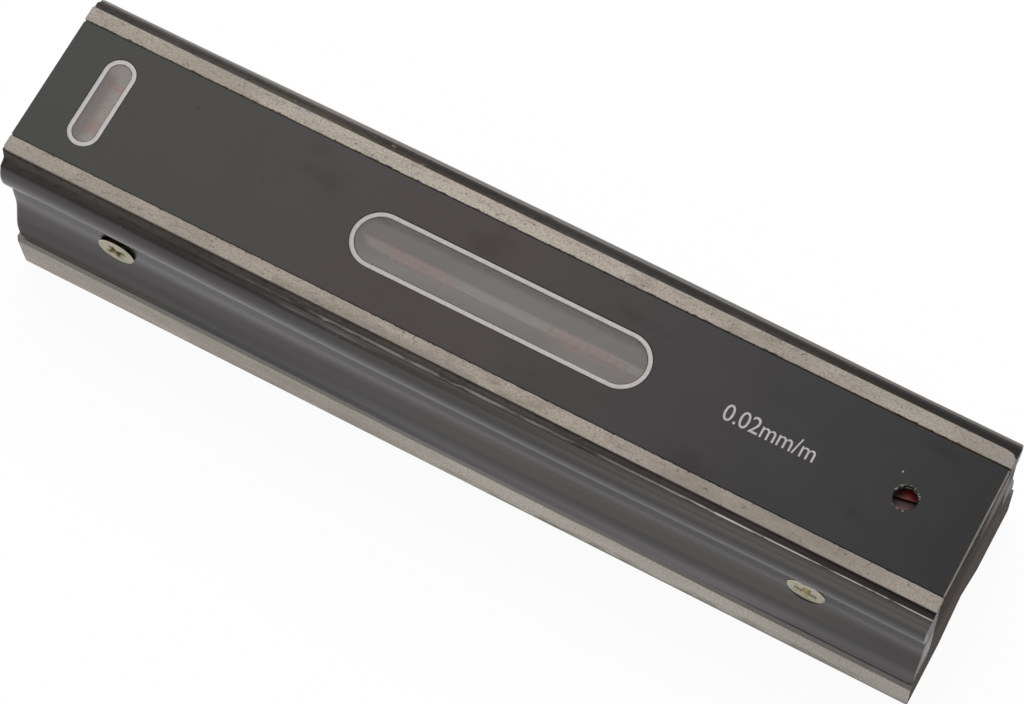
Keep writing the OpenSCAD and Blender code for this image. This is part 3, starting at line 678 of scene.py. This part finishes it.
def screwPocket(s, spot, front):  # the countersunk hole that a grip screw sits in
    x, z, out, turn = spot
    proud = out > s["seat"]
    wide = s["pocket"] - s["proudLess"] * proud
    hole = s["hole"]
    profile = [(wide, s["pocketMouth"]), (wide, s["seat"]), (hole, s["holeTop"]), (hole, s["holeEnd"])]
    tool = newPiece("pocketTool", turned("pocketTool", profile, 40), gripGloss)
    place = Matrix.Translation((x * mm, 0, (z + s["proudLift"] * proud) * mm))
    tool.data.transform(place @ turnBy(90 if front else -90, "X"))
    return tool


def makeGrip(name, front, node):
    s = gripShape
    bm = gripMesh(s, *s["frontEnds" if front else "rearEnds"])
    if front:
        for v in bm.verts:
            v.co.y = -v.co.y
    piece = newPiece(name, closeMesh(name, bm), gripGloss)
    row = [spot for label, spot in screwSpots.items() if label.startswith("front") == front]
    cutAway(piece, [screwPocket(s, spot, front) for spot in row])
    dress(smooth(piece, 30), "level", node)


makeGrip("gripFront", True, "front_grip")
makeGrip("gripRear", False, "rear_grip")
print("grips made")

barShape = {
    "half": 22.5, "base": 11.9, "baseSide": 10.2, "baseStep": 22.1, "edge": 0.25, "groove": (8.5, 6.7),
    "core": 15.0, "shoulder": 18.72, "shoulderTop": 44.2, "shoulderLow": 43.5,
    "skirt": 19.2, "skirtLow": 43.44, "slack": 0.05, "land": 17.2, "landInner": 0.6,
    "seat": 14.0, "top": 45.0, "seatFloor": 42.3,
    "cavity": 11.5, "cavityFloor": 14.0, "cavityEnd": 94.0, "end": 100.0, "endEdge": 0.12, "landEdge": 0.12,
    "leftLand": 99.75, "leftCorner": (0.3, 0.7),  # width and depth of the worn corner
    "leftShoulder": 98.95, "leftSlope": 0.37,
    "rearFull": 0.35, "wornFrom": 97.5, "wornRound": 2.5, "wornShare": 0.55,
    "steps": 8, "rightRows": [97.5, 98.6, 99.3],
}


def barSide(b):  # half the bar's outline, up the outside and in to the cavity
    c, e, top, land, low = b["edge"], b["landEdge"], b["top"], b["land"], b["shoulderTop"]
    return [(b["groove"][0], 0), (b["half"] - c, 0), (b["half"], c), (b["half"], b["baseSide"]),
            (b["baseStep"], b["base"]), (b["core"], b["base"]), (b["core"], b["shoulderLow"]),
            (b["skirt"], b["skirtLow"]), (b["shoulder"], low - e), (b["shoulder"] - e, low),
            (land, low), (land, top - e), (land - e, top), (land - b["landInner"], top),
            (b["seat"] + e, top), (b["seat"], top - e), (b["seat"], b["seatFloor"]),
            (b["cavity"], b["seatFloor"])]


def wholeOutline(half, apex):  # both sides of the bar, round from the groove
    return [apex] + half + [(-y, z) for y, z in reversed(half)]


def wornBar(b, x, y, z):  # shoulders that follow the grips, and worn ends on the lands
    slack = b["slack"]
    onLand = z > b["shoulderTop"] + slack and abs(y) < b["land"] + slack
    if z > b["shoulderLow"] - 0.15 and abs(y) > b["land"] + 1 and abs(x) < gripShape["bowHalf"]:
        return x, y + math.copysign(bowed(x), y), z
    if onLand and x < -b["leftLand"] and y < 0:
        wide, deep = b["leftCorner"]
        return -b["leftLand"] + (deep if y < wide - b["land"] else 0), y, z
    if x < -b["leftShoulder"] and y < slack - b["land"] and z > b["shoulderLow"] - 1:
        return (x + b["end"]) / 2 - b["leftShoulder"] + b["leftSlope"] * (b["skirt"] + y), y, z
    if y > b["half"] - 1 and abs(z - b["base"]) < 0.2:
        return x, y + b["rearFull"], z  # the base is fuller at the rear
    if onLand and x > b["wornFrom"] and y > b["land"] - b["landInner"]:
        bend = b["wornRound"]
        return x, y - b["wornShare"] * (bend - math.sqrt(bend ** 2 - (x - b["wornFrom"]) ** 2)), z
    return x, y, z


def makeBar():
    b = barShape
    half = barSide(b)
    bar = wholeOutline(half, (0, b["groove"][1]))
    tip = drawnIn(bar, [b["endEdge"]] * len(bar))
    edgeIn = b["end"] - b["endEdge"]
    span = [b["cavityEnd"] * i / b["steps"] for i in range(-b["steps"], b["steps"] + 1)]
    stations = [(x, bar) for x in [-edgeIn] + span + b["rightRows"] + [edgeIn]]
    stations = [(-b["end"], tip)] + stations + [(b["end"], tip)]
    bm = bmesh.new()
    rows = loft(bm, [[wornBar(b, x, y, z) for y, z in points] for x, points in stations])
    corner = len(half)  # the cavity's edge on the +Y side
    inside = rows[2:2 + len(span)]
    mouth = [row[corner] for row in inside] + [row[corner + 1] for row in reversed(inside)]
    ringed = set(mouth)
    bmesh.ops.delete(bm, geom=[f for f in bm.faces if ringed.issuperset(f.verts)], context="FACES_ONLY")
    floor = [bm.verts.new((v.co.x, v.co.y, b["cavityFloor"] * mm)) for v in mouth]
    for i in range(len(mouth)):
        j = (i + 1) % len(mouth)
        bm.faces.new((mouth[i], mouth[j], floor[j], floor[i]))
    bm.faces.new(floor)
    piece = newPiece("ironBar", closeMesh("ironBar", bm), groundIron, darkPaint, endIron)
    for face in piece.data.polygons:
        place, normal = face.center / mm, face.normal
        if abs(normal.x) > 0.9:
            face.material_index = 2 if abs(place.x) > b["end"] - 0.5 else 1
        else:
            ground = place.z > b["top"] - b["landEdge"] or place.z < b["base"] + 0.01
            face.material_index = 0 if ground else 1
    dress(smooth(piece, 25), "level", "body")


makeBar()
print("bar made")

coverShape = {
    "half": (99.93, 13.95), "top": 44.8, "under": 42.8, "shelfTop": 43.28, "bevel": 0.2, "corner": 0.4,
    "mainRim": (63.8, 11.9), "mainAt": (0.38, -0.2), "crossRim": (6.8, 20.0), "crossAt": (-87.7, 0),
    "rimGap": 0.05, "rimWidth": 0.95, "shelf": 0.6, "shelfGap": 0.02, "access": 4.7,
    "paneGap": 0.05, "paneEdge": 0.1, "paneLow": 0.03, "paneDown": 0.12,
}


def slotOutline(place, size, grow, count=14):  # a slot with round ends, long in X or in Y
    w, h = size[0] / 2 + grow, size[1] / 2 + grow
    if w > h:
        points = ring((w - h, 0), h, -90, 90, count) + ring((h - w, 0), h, 90, 270, count)
    else:
        points = ring((0, h - w), w, 0, 180, count) + ring((0, w - h), w, 180, 360, count)
    return [(place[0] + x, place[1] + y) for x, y in points]


def platePiece(name, outlines, low, high, bevel, finish):  # a flat plate with soft edges, sizes in mm
    curve = bpy.data.curves.new(name, "CURVE")
    curve.dimensions, curve.fill_mode = "2D", "BOTH"
    curve.extrude = (high - low) / 2 * mm - bevel * mm
    curve.bevel_depth, curve.bevel_resolution = bevel * mm, 2
    for points in outlines:
        spline = curve.splines.new("POLY")
        spline.points.add(len(points) - 1)
        for knot, (x, y) in zip(spline.points, points):
            knot.co = (x * mm, y * mm, 0, 1)
        spline.use_cyclic_u = True
    curve.materials.append(finish)
    piece = settle(addObject(name + "Curve", curve), name)
    piece.data.transform(Matrix.Translation((0, 0, (low + high) / 2 * mm)))
    bm = bmesh.new()
    bm.from_mesh(piece.data)
    mend(bm, piece.data, 1e-6)
    return smooth(piece, 40)


def joined(first, second):  # the second piece goes into the first
    bm = bmesh.new()
    bm.from_mesh(first.data)
    bm.from_mesh(second.data)
    bm.to_mesh(first.data)
    bm.free()
    bpy.data.objects.remove(second)


def makeCover():
    c = coverShape
    e, r = c["bevel"], c["corner"]
    w, h = c["half"][0] - e - r, c["half"][1] - e - r
    outer = []
    for cx, cy, start in ((1, -1, -90), (1, 1, 0), (-1, 1, 90), (-1, -1, 180)):
        outer += ring((cx * w, cy * h), r, start, start + 90, 4)
    hole = slotOutline((adjusterX, 0), (c["access"], c["access"]), e, 16)

    def layer(name, grow, low, high):  # the windows' openings are wider above the shelf
        slots = ((c["mainAt"], c["mainRim"]), (c["crossAt"], c["crossRim"]))
        outlines = [outer] + [slotOutline(place, size, grow + e) for place, size in slots] + [hole]
        return platePiece(name, outlines, low, high, e, coverSatin)

    piece = layer("coverPlate", c["rimGap"], c["shelfTop"] + c["shelfGap"], c["top"])
    joined(piece, layer("coverShelf", -(c["rimWidth"] + c["shelf"]), c["under"], c["shelfTop"]))
    for face in piece.data.polygons:
        face.use_smooth = abs(face.normal.z) < 0.999  # the flats stay flat
    dress(piece, "level", "cover_plate")


makeCover()


def makeWindow(name, place, size, node):
    c = coverShape
    outline = slotOutline(place, size, -c["rimWidth"] - c["paneGap"] - c["paneEdge"])
    low, high = c["shelfTop"] + c["paneLow"], c["top"] - c["paneDown"]
    dress(platePiece(name, [outline], low, high, c["paneEdge"], windowClear), "level", node)


makeWindow("mainPane", coverShape["mainAt"], coverShape["mainRim"], "main_window")
makeWindow("crossPane", coverShape["crossAt"], coverShape["crossRim"], "cross_window")
print("cover and windows made")


def geometryTree(name, sizes, others):  # an empty tree with named inputs, ready for its nodes
    tree = bpy.data.node_groups.new(name, "GeometryNodeTree")
    kinds = {"Geometry": "Geometry", **{label: "Float" for label in sizes}, **others, "Finish": "Material"}
    for label, kind in kinds.items():
        tree.interface.new_socket(label, in_out="INPUT", socket_type="NodeSocket" + kind)
    tree.interface.new_socket("Geometry", in_out="OUTPUT", socket_type="NodeSocketGeometry")
    kit = Nodes(tree)
    return kit, kit.node("NodeGroupInput")


def finishTree(kit, geometry, given):  # instances become real, and the finish goes on
    real = kit.node("GeometryNodeRealizeInstances", sockets={0: geometry})
    kit.node("NodeGroupOutput", sockets={0: kit.node("GeometryNodeSetMaterial", sockets={
        "Geometry": real, "Material": given.out("Finish")})})
    return kit.tree


def grow(name, mesh, tree, values):  # runs a tree on a mesh and keeps the result
    piece = newPiece(name, mesh)
    modifier = piece.modifiers.new("grow", "NODES")
    modifier.node_group = tree
    for item in tree.interface.items_tree:
        if item.in_out == "INPUT" and item.name in values:
            modifier[item.identifier] = values[item.name]
    return settle(piece)


rimShape = {"low": 43.3, "top": 44.8, "round": 0.14, "steps": 16, "roundSteps": 3}


def rimTree():
    sizes = ("Length", "Breadth", "Width", "Height", "Round")
    kit, given = geometryTree("windowRim", sizes, {"Place": "Vector"})
    path = kit.node("GeometryNodeCurvePrimitiveQuadrilateral", sockets={
        "Width": given.out("Length"), "Height": given.out("Breadth")})
    path = kit.node("GeometryNodeFilletCurve", {"mode": "POLY"}, {
        "Curve": path, "Count": rimShape["steps"], "Radius": 1.0, "Limit Radius": True})  # half round ends
    path = kit.node("GeometryNodeSetCurveNormal", {"mode": "Z_UP"}, {"Curve": path})
    section = kit.node("GeometryNodeCurvePrimitiveQuadrilateral", sockets={
        "Width": given.out("Width"), "Height": given.out("Height")})
    section = kit.node("GeometryNodeFilletCurve", {"mode": "POLY"}, {
        "Curve": section, "Count": rimShape["roundSteps"], "Radius": given.out("Round")})
    skin = kit.node("GeometryNodeCurveToMesh", sockets={"Curve": path, "Profile Curve": section})
    skin = kit.node("GeometryNodeTransform", sockets={"Geometry": skin, "Translation": given.out("Place")})
    return finishTree(kit, skin, given)


def makeRim(name, place, size, node):
    r, width = rimShape, coverShape["rimWidth"]
    piece = grow(name, bpy.data.meshes.new(name), rims, {
        "Length": (size[0] - width) * mm, "Breadth": (size[1] - width) * mm, "Width": width * mm,
        "Height": (r["top"] - r["low"]) * mm, "Round": r["round"] * mm,
        "Place": (place[0] * mm, place[1] * mm, (r["low"] + r["top"]) / 2 * mm), "Finish": rimGrey})
    dress(smooth(piece, 50), "level", node)


rims = rimTree()
makeRim("mainRim", coverShape["mainAt"], coverShape["mainRim"], "main_bezel")
makeRim("crossRim", coverShape["crossAt"], coverShape["crossRim"], "cross_bezel")
print("rims made")

screwShape = {
    "head": 4.0, "shank": 1.95, "length": 7.0, "edge": 0.15, "cone": 2.0,
    "rimIn": 0.05, "tip": 0.3, "pole": 0.02,
    "recess": (4.8, 1.6), "recessDeep": (2.6, 1.0), "depth": 1.3, "above": 0.4,
    "darkFrom": 1.2, "darkWithin": 2.5,
}


def crossOutline(size, z):  # outline of the cross recess at one depth
    a, b = size[0] / 2, size[1] / 2
    quarter = [(a, b), (b, b), (b, a)]
    points = []
    for i in range(4):
        c, s = round(math.cos(i * math.pi / 2)), round(math.sin(i * math.pi / 2))
        points += [(x * c - y * s, x * s + y * c, z) for x, y in quarter]
    return points


def oneScrew():
    s = screwShape
    head, shank, tip, long = s["head"], s["shank"], s["tip"], s["length"]
    profile = [(s["pole"], 0), (head - s["edge"], 0), (head, -s["edge"]), (head - s["rimIn"], -2 * s["edge"]),
               (shank, -s["cone"]), (shank, tip - long), (shank - tip, -long), (s["pole"], -long)]
    screw = newPiece("screwModel", turned("screwModel", profile, 40), zincYellow)
    bm = bmesh.new()
    wide, deep = s["recess"], s["recessDeep"]
    loft(bm, [crossOutline(wide, s["above"]), crossOutline(wide, 0), crossOutline(deep, -s["depth"])])
    cutAway(screw, [newPiece("recessTool", closeMesh("recessTool", bm), zincYellow)])
    depths = []
    # depth carries the painted shade down the recess and the painted highlight on the head's rim
    for v in screw.data.vertices:
        out, down = math.hypot(v.co.x, v.co.y) / mm, -v.co.z / mm
        inside = min(max(down / s["darkFrom"], 0), 1) if out < s["darkWithin"] else 0
        depths.append(-1 if out > head - s["edge"] / 2 and down < 2 * s["edge"] else inside)
    screw.data.attributes.new("depth", "FLOAT", "POINT").data.foreach_set("value", depths)
    return smooth(screw, 30)


def screwTree():
    kit, given = geometryTree("gripScrews", (), {"Screw": "Object"})
    model = kit.node("GeometryNodeObjectInfo", sockets={"Object": given.out("Screw")}, out="Geometry")
    turn = kit.node("GeometryNodeInputNamedAttribute", {"data_type": "FLOAT_VECTOR"}, {"Name": "turn"})
    turn = kit.node("FunctionNodeEulerToRotation", sockets={0: turn})
    placed = kit.node("GeometryNodeInstanceOnPoints", sockets={
        "Points": given, "Instance": model, "Rotation": turn})
    return finishTree(kit, placed, given)


def makeGripScrews():
    spots, turns = [], []
    for label, (x, z, out, turn) in screwSpots.items():
        front = label.startswith("front")
        spots.append((x * mm, (-out if front else out) * mm, z * mm))
        turns += list((turnBy(90 if front else -90, "X") @ turnBy(turn, "Z")).to_euler())
    points = bpy.data.meshes.new("gripScrews")
    points.from_pydata(spots, [], [])
    points.attributes.new("turn", "FLOAT_VECTOR", "POINT").data.foreach_set("vector", turns)
    model = oneScrew()
    piece = grow("gripScrews", points, screwTree(), {"Screw": model, "Finish": zincYellow})
    bpy.data.objects.remove(model)
    dress(smooth(piece, 30), "level", "grip_screws")


makeGripScrews()
print("grip screws made")

vialShape = {
    "height": 34.6, "radius": 6.5, "bore": 5.2, "half": 46.0, "fluid": 5.15, "fluidHalf": 43.95,
    "bubble": 4.85, "bubbleLow": 2.95, "bubbleHalf": 20.0,
}
crossShape = {
    "height": 37.1, "radius": 4.0, "bore": 3.0, "half": 11.0, "fluid": 2.95, "fluidHalf": 8.95,
    "bubble": 2.65, "bubbleLow": 1.55, "bubbleHalf": 3.0,
}
vialForm = {  # what both vials share
    "rim": 0.4, "rimBend": (0.1, 0.12), "count": 64, "boreWall": 0.2,
    "fluidUnder": 0.05, "fluidEdge": 0.3, "fluidCount": 40,
    "bubbleTrim": 4, "bubbleRows": 12, "bubbleArc": 16,
    "bubbleTip": 0.03, "bubbleMiddle": 0.45, "bubbleEase": 0.6,
}


def vialPlace(v, across):  # from the vial's own middle to its place in the bar
    if across:
        return Matrix.Translation((coverShape["crossAt"][0] * mm, 0, v["height"] * mm)) @ turnBy(90, "Z")
    return Matrix.Translation((0, 0, v["height"] * mm))


def tubeMesh(name, v):  # made on the Z axis and laid along X
    r, b, h, rim = v["radius"], v["bore"], v["half"], vialForm["rim"]
    bendIn, bendUp = vialForm["rimBend"]
    low = [(b, -h), (r - rim, -h), (r - bendIn, bendUp - h), (r, rim - h)]
    profile = low + [(p, -z) for p, z in reversed(low)]
    mesh = turned(name, profile + profile[:1], vialForm["count"], False)
    wall = (b + vialForm["boreWall"]) * mm
    inner = [float(math.hypot(p.center.x, p.center.y) < wall) for p in mesh.polygons]
    mesh.attributes.new("bore", "FLOAT", "FACE").data.foreach_set("value", inner)
    mesh.transform(turnBy(90, "Y"))
    return mesh


def fluidMesh(name, v):  # fills the bore up to the level that the bubble lies on
    r, half, edge = v["fluid"], v["fluidHalf"], vialForm["fluidEdge"]
    rise = math.degrees(math.asin((v["bubbleLow"] - vialForm["fluidUnder"]) / r))
    bm = bmesh.new()
    loft(bm, [[(x, y, z) for y, z in ring((0, 0), r - inset, rise, -180 - rise, vialForm["fluidCount"])]
              for x, inset in ((-half, edge), (edge - half, 0), (half - edge, 0), (half, edge))])
    return closeMesh(name, bm)


def bubbleMesh(name, v):  # flat below, round above and at its ends
    form, r, low, half = vialForm, v["bubble"], v["bubbleLow"], v["bubbleHalf"]
    wide = math.degrees(math.acos(low / r)) - form["bubbleTrim"]
    arc = ring((0, 0), r, 90 - wide, 90 + wide, form["bubbleArc"])
    floor = low + (r - low) * form["bubbleMiddle"]
    cap = math.sqrt(r * r - low * low)
    rings = []
    for i in range(-form["bubbleRows"], form["bubbleRows"] + 1):
        turn = math.pi / 2 * i / form["bubbleRows"]
        x = half * math.sin(turn)
        if half >= 2 * cap and i:
            x = math.copysign(half - cap + cap * abs(math.sin(turn)), i)
        size = max(math.cos(turn), form["bubbleTip"])
        rings.append([(x, y * size, floor + (z - floor) * size ** form["bubbleEase"]) for y, z in arc])
    bm = bmesh.new()
    loft(bm, rings)
    return closeMesh(name, bm)


def makeVial(label, v, across, carrier, bubbleBody):
    for part, maker, finish, body, slot in (
            ("Vial", tubeMesh, vialGlass, carrier, "vial_glass"),
            ("Fluid", fluidMesh, vialFluid, carrier, "vial_fluid"),
            ("Bubble", bubbleMesh, bubbleAir, bubbleBody, "bubble_air")):
        mesh = maker(label + part, v)
        mesh.transform(vialPlace(v, across))
        piece = smooth(newPiece(label + part, mesh, finish), 40)
        dress(piece, body, label + "_" + part.lower())


makeVial("main", vialShape, False, "carrier", "main_bubble")
makeVial("cross", crossShape, True, "level", "cross_bubble")
print("vials made")

tickShape = {
    "count": 9, "pitch": 2.0, "first": 11.0, "spread": 20.0, "longSpread": 34.0, "line": 0.7, "rise": 0.02,
    "lean": 5.0, "arcSteps": 16, "lineSides": 6,
}


def tickTree():
    sizes = ("Pitch", "First", "Radius", "Spread", "Line", "Lean", "Height")
    kit, given = geometryTree("vialTicks", sizes, {"Count": "Int"})
    step = kit.node("ShaderNodeCombineXYZ", sockets={0: given.out("Pitch")})
    start = kit.node("ShaderNodeCombineXYZ", sockets={0: given.out("First"), 2: given.out("Height")})
    row = kit.node("GeometryNodeMeshLine", sockets={
        "Count": given.out("Count"), "Start Location": start, "Offset": step})
    arc = kit.node("GeometryNodeCurveArc", sockets={
        "Resolution": tickShape["arcSteps"], "Radius": given.out("Radius"),
        "Start Angle": given.out("Spread") * -0.5 - given.out("Lean"), "Sweep Angle": given.out("Spread")})
    arc = kit.node("GeometryNodeTransform", sockets={
        "Geometry": arc, "Rotation": (0, math.radians(-90), 0)})
    section = kit.node("GeometryNodeCurvePrimitiveCircle", sockets={
        "Resolution": tickShape["lineSides"], "Radius": given.out("Line") * 0.5})
    mark = kit.node("GeometryNodeCurveToMesh", sockets={
        "Curve": arc, "Profile Curve": section, "Fill Caps": True})
    placed = kit.node("GeometryNodeInstanceOnPoints", sockets={"Points": row, "Instance": mark})
    return finishTree(kit, placed, given)


def makeTicks():  # on each side one long line, then the short ones
    t, v = tickShape, vialShape
    tree = tickTree()
    made = []
    for side in (-1, 1):
        for first, count, spread in ((0, 1, t["longSpread"]), (1, t["count"] - 1, t["spread"])):
            made.append(grow("vialTicks", bpy.data.meshes.new("vialTicks"), tree, {
                "Count": count, "Pitch": side * t["pitch"] * mm, "Radius": (v["radius"] + t["rise"]) * mm,
                "First": side * (t["first"] + first * t["pitch"]) * mm, "Spread": math.radians(spread),
                "Lean": math.radians(t["lean"]), "Line": t["line"] * mm, "Height": v["height"] * mm,
                "Finish": tickInk}))
    piece = made[0]
    for other in made[1:]:
        joined(piece, other)
    dress(smooth(piece, 60), "carrier", None)


makeTicks()

springShape = {"low": 22.55, "high": 33.3, "radius": 3.5, "wire": 0.5, "turns": 5.0, "steps": 36, "sides": 12}


def springTree():
    kit, given = geometryTree("adjusterSpring", ("Turns", "Radius", "Height", "Wire"), {"Place": "Vector"})
    coil = kit.node("GeometryNodeCurveSpiral", sockets={
        "Resolution": springShape["steps"], "Rotations": given.out("Turns"), "Height": given.out("Height"),
        "Start Radius": given.out("Radius"), "End Radius": given.out("Radius")})
    wire = kit.node("GeometryNodeCurvePrimitiveCircle", sockets={
        "Resolution": springShape["sides"], "Radius": given.out("Wire")})
    skin = kit.node("GeometryNodeCurveToMesh", sockets={
        "Curve": coil, "Profile Curve": wire, "Fill Caps": True})
    skin = kit.node("GeometryNodeTransform", sockets={"Geometry": skin, "Translation": given.out("Place")})
    return finishTree(kit, skin, given)


def makeSpring():
    s, x = springShape, adjusterX
    piece = grow("adjusterSpring", bpy.data.meshes.new("adjusterSpring"), springTree(), {
        "Turns": s["turns"], "Radius": s["radius"] * mm, "Height": (s["high"] - s["low"]) * mm,
        "Wire": s["wire"] * mm, "Place": (x * mm, 0, s["low"] * mm), "Finish": steel})
    dress(smooth(piece, 40), "level", "adjuster_spring")
    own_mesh(piece)


makeSpring()

adjusterShape = {
    "top": 41.9, "headLow": 38.9, "head": 3.5, "collar": 2.0, "collarLow": 33.85, "shank": 1.65, "tip": 10.55,
    "tipEdge": (0.4, 0.5), "headEdge": 0.2, "crown": ((0, 0.5), (0.15, 0.15), (0.5, 0.02)), "flat": 1.5,
    "pole": 0.02, "slot": (9.0, 1.6, 1.0), "slotTurn": 10,
}


def makeAdjuster():
    a = adjusterShape
    tip, shank, head, low, top, e = a["tip"], a["shank"], a["head"], a["headLow"], a["top"], a["headEdge"]
    profile = [(a["pole"], tip), (shank - a["tipEdge"][0], tip), (shank, tip + a["tipEdge"][1]),
               (shank, a["collarLow"]), (a["collar"], a["collarLow"]), (a["collar"], low),
               (head - e, low), (head, low + e)]
    profile += [(head - inward, top - down) for inward, down in a["crown"]]
    profile += [(a["flat"], top), (a["pole"], top)]
    piece = newPiece("adjusterScrew", turned("adjusterScrew", profile), redLacquer)
    x, y = a["slot"][0] / 2, a["slot"][1] / 2
    bm = bmesh.new()
    loft(bm, [[(-x, -y, z), (x, -y, z), (x, y, z), (-x, y, z)] for z in (top - a["slot"][2], top + 1)])
    tool = newPiece("slotTool", closeMesh("slotTool", bm), redLacquer)
    tool.data.transform(turnBy(a["slotTurn"], "Z"))
    cutAway(piece, [tool])
    piece.data.transform(Matrix.Translation((adjusterX * mm, 0, 0)))
    dress(smooth(piece, 30), "adjuster", "adjuster_screw")


makeAdjuster()
print("ticks, spring and adjuster made")

markShape = {"words": "0.02mm/m", "left": 48.1, "right": 67.0, "low": -1.95, "high": 1.5, "thick": 0.03}


def makeMark():  # the plain graduation value beside the window
    m = markShape
    text = bpy.data.curves.new("gradeMark", "FONT")
    text.body, text.size, text.extrude = m["words"], 1.0, 0.01
    text.materials.append(markGrey)
    piece = settle(addObject("gradeMarkText", text), "gradeMark")
    xs, ys = [v.co.x for v in piece.data.vertices], [v.co.y for v in piece.data.vertices]
    wide, tall = (m["right"] - m["left"]) / (max(xs) - min(xs)), (m["high"] - m["low"]) / (max(ys) - min(ys))
    for v in piece.data.vertices:
        v.co = ((m["left"] + (v.co.x - min(xs)) * wide) * mm, (m["low"] + (v.co.y - min(ys)) * tall) * mm,
                (coverShape["top"] + (m["thick"] if v.co.z > 0 else -m["thick"])) * mm)
    dress(piece, "level", None)


makeMark()

carried = {  # nodes that keep their own shape, with their finish
    "cover_seal": sealBlack, "main_vial_ends": bedding, "cross_vial_ends": bedding, "vial_carrier": brass,
    "vial_seats": bedding, "pivot_block": blockSteel, "pivot_pin": steel, "pivot_screws": steel,
    "adjuster_bush": brass, "cross_holder": blockSteel, "cross_holder_screws": steel,
}
for label, finish in carried.items():
    nodes[label].data.materials.clear()
    nodes[label].data.materials.append(finish)
print("mark made, carried nodes finished:", len(carried))

stageSetup = {
    "world": 0.66, "floor": 3.0, "drop": 0.0002, "show": 0.92,
    "lamps": {  # place, size and power
        "overhead": ((-0.06, 0.49, 0.93), (0.7, 0.75), 4.8),
        "strip": ((-0.24, 0.077, 1.015), (0.15, 0.44), 0.8)},
}


def seenRays(kit):  # 1 for what the camera sees, straight or by a reflection
    path = kit.node("ShaderNodeLightPath")
    return path | path.out("Is Glossy Ray") | path.out("Is Transmission Ray")


def makeStage(s):
    f = Finish("paleFloor")
    white = (1, 1, 1, 1)
    weave = f.blend(f.noise(50, 3, 0.5), (0.95, 0.95, 0.95, 1), white)
    lit = f.node("ShaderNodeBsdfDiffuse", sockets={"Color": weave})
    glow = f.node("ShaderNodeEmission", sockets={"Color": white, "Strength": 1.0})
    bright = f.node("ShaderNodeMixShader", sockets={0: seenRays(f) * s["show"], 1: lit, 2: glow})
    half = s["floor"]
    corners = [(-half, -half), (half, -half), (half, half), (-half, half)]
    mesh = bpy.data.meshes.new("floor")
    mesh.from_pydata([(x, y, -s["drop"]) for x, y in corners], [], [(0, 1, 2, 3)])
    newPiece("floor", mesh, f.end(bright))
    world = bpy.data.worlds.new("studio")
    world.use_nodes = True
    bpy.context.scene.world = world
    world.node_tree.nodes.clear()
    kit = Nodes(world.node_tree)
    level = s["world"] + seenRays(kit) * (1 - s["world"])
    sky = kit.node("ShaderNodeBackground", sockets={"Color": white, "Strength": level})
    kit.node("ShaderNodeOutputWorld", sockets={"Surface": sky})
    for label, (place, size, power) in s["lamps"].items():
        lamp = bpy.data.lights.new(label, "AREA")
        lamp.shape, lamp.size, lamp.size_y, lamp.energy = "RECTANGLE", *size, power
        box = addObject(label, lamp)
        box.location = place
        box.rotation_mode = "QUATERNION"
        box.rotation_quaternion = (-Vector(place)).to_track_quat("-Z", "Y")


makeStage(stageSetup)
bpy.context.scene.view_settings.view_transform = "Standard"
print("stage made")
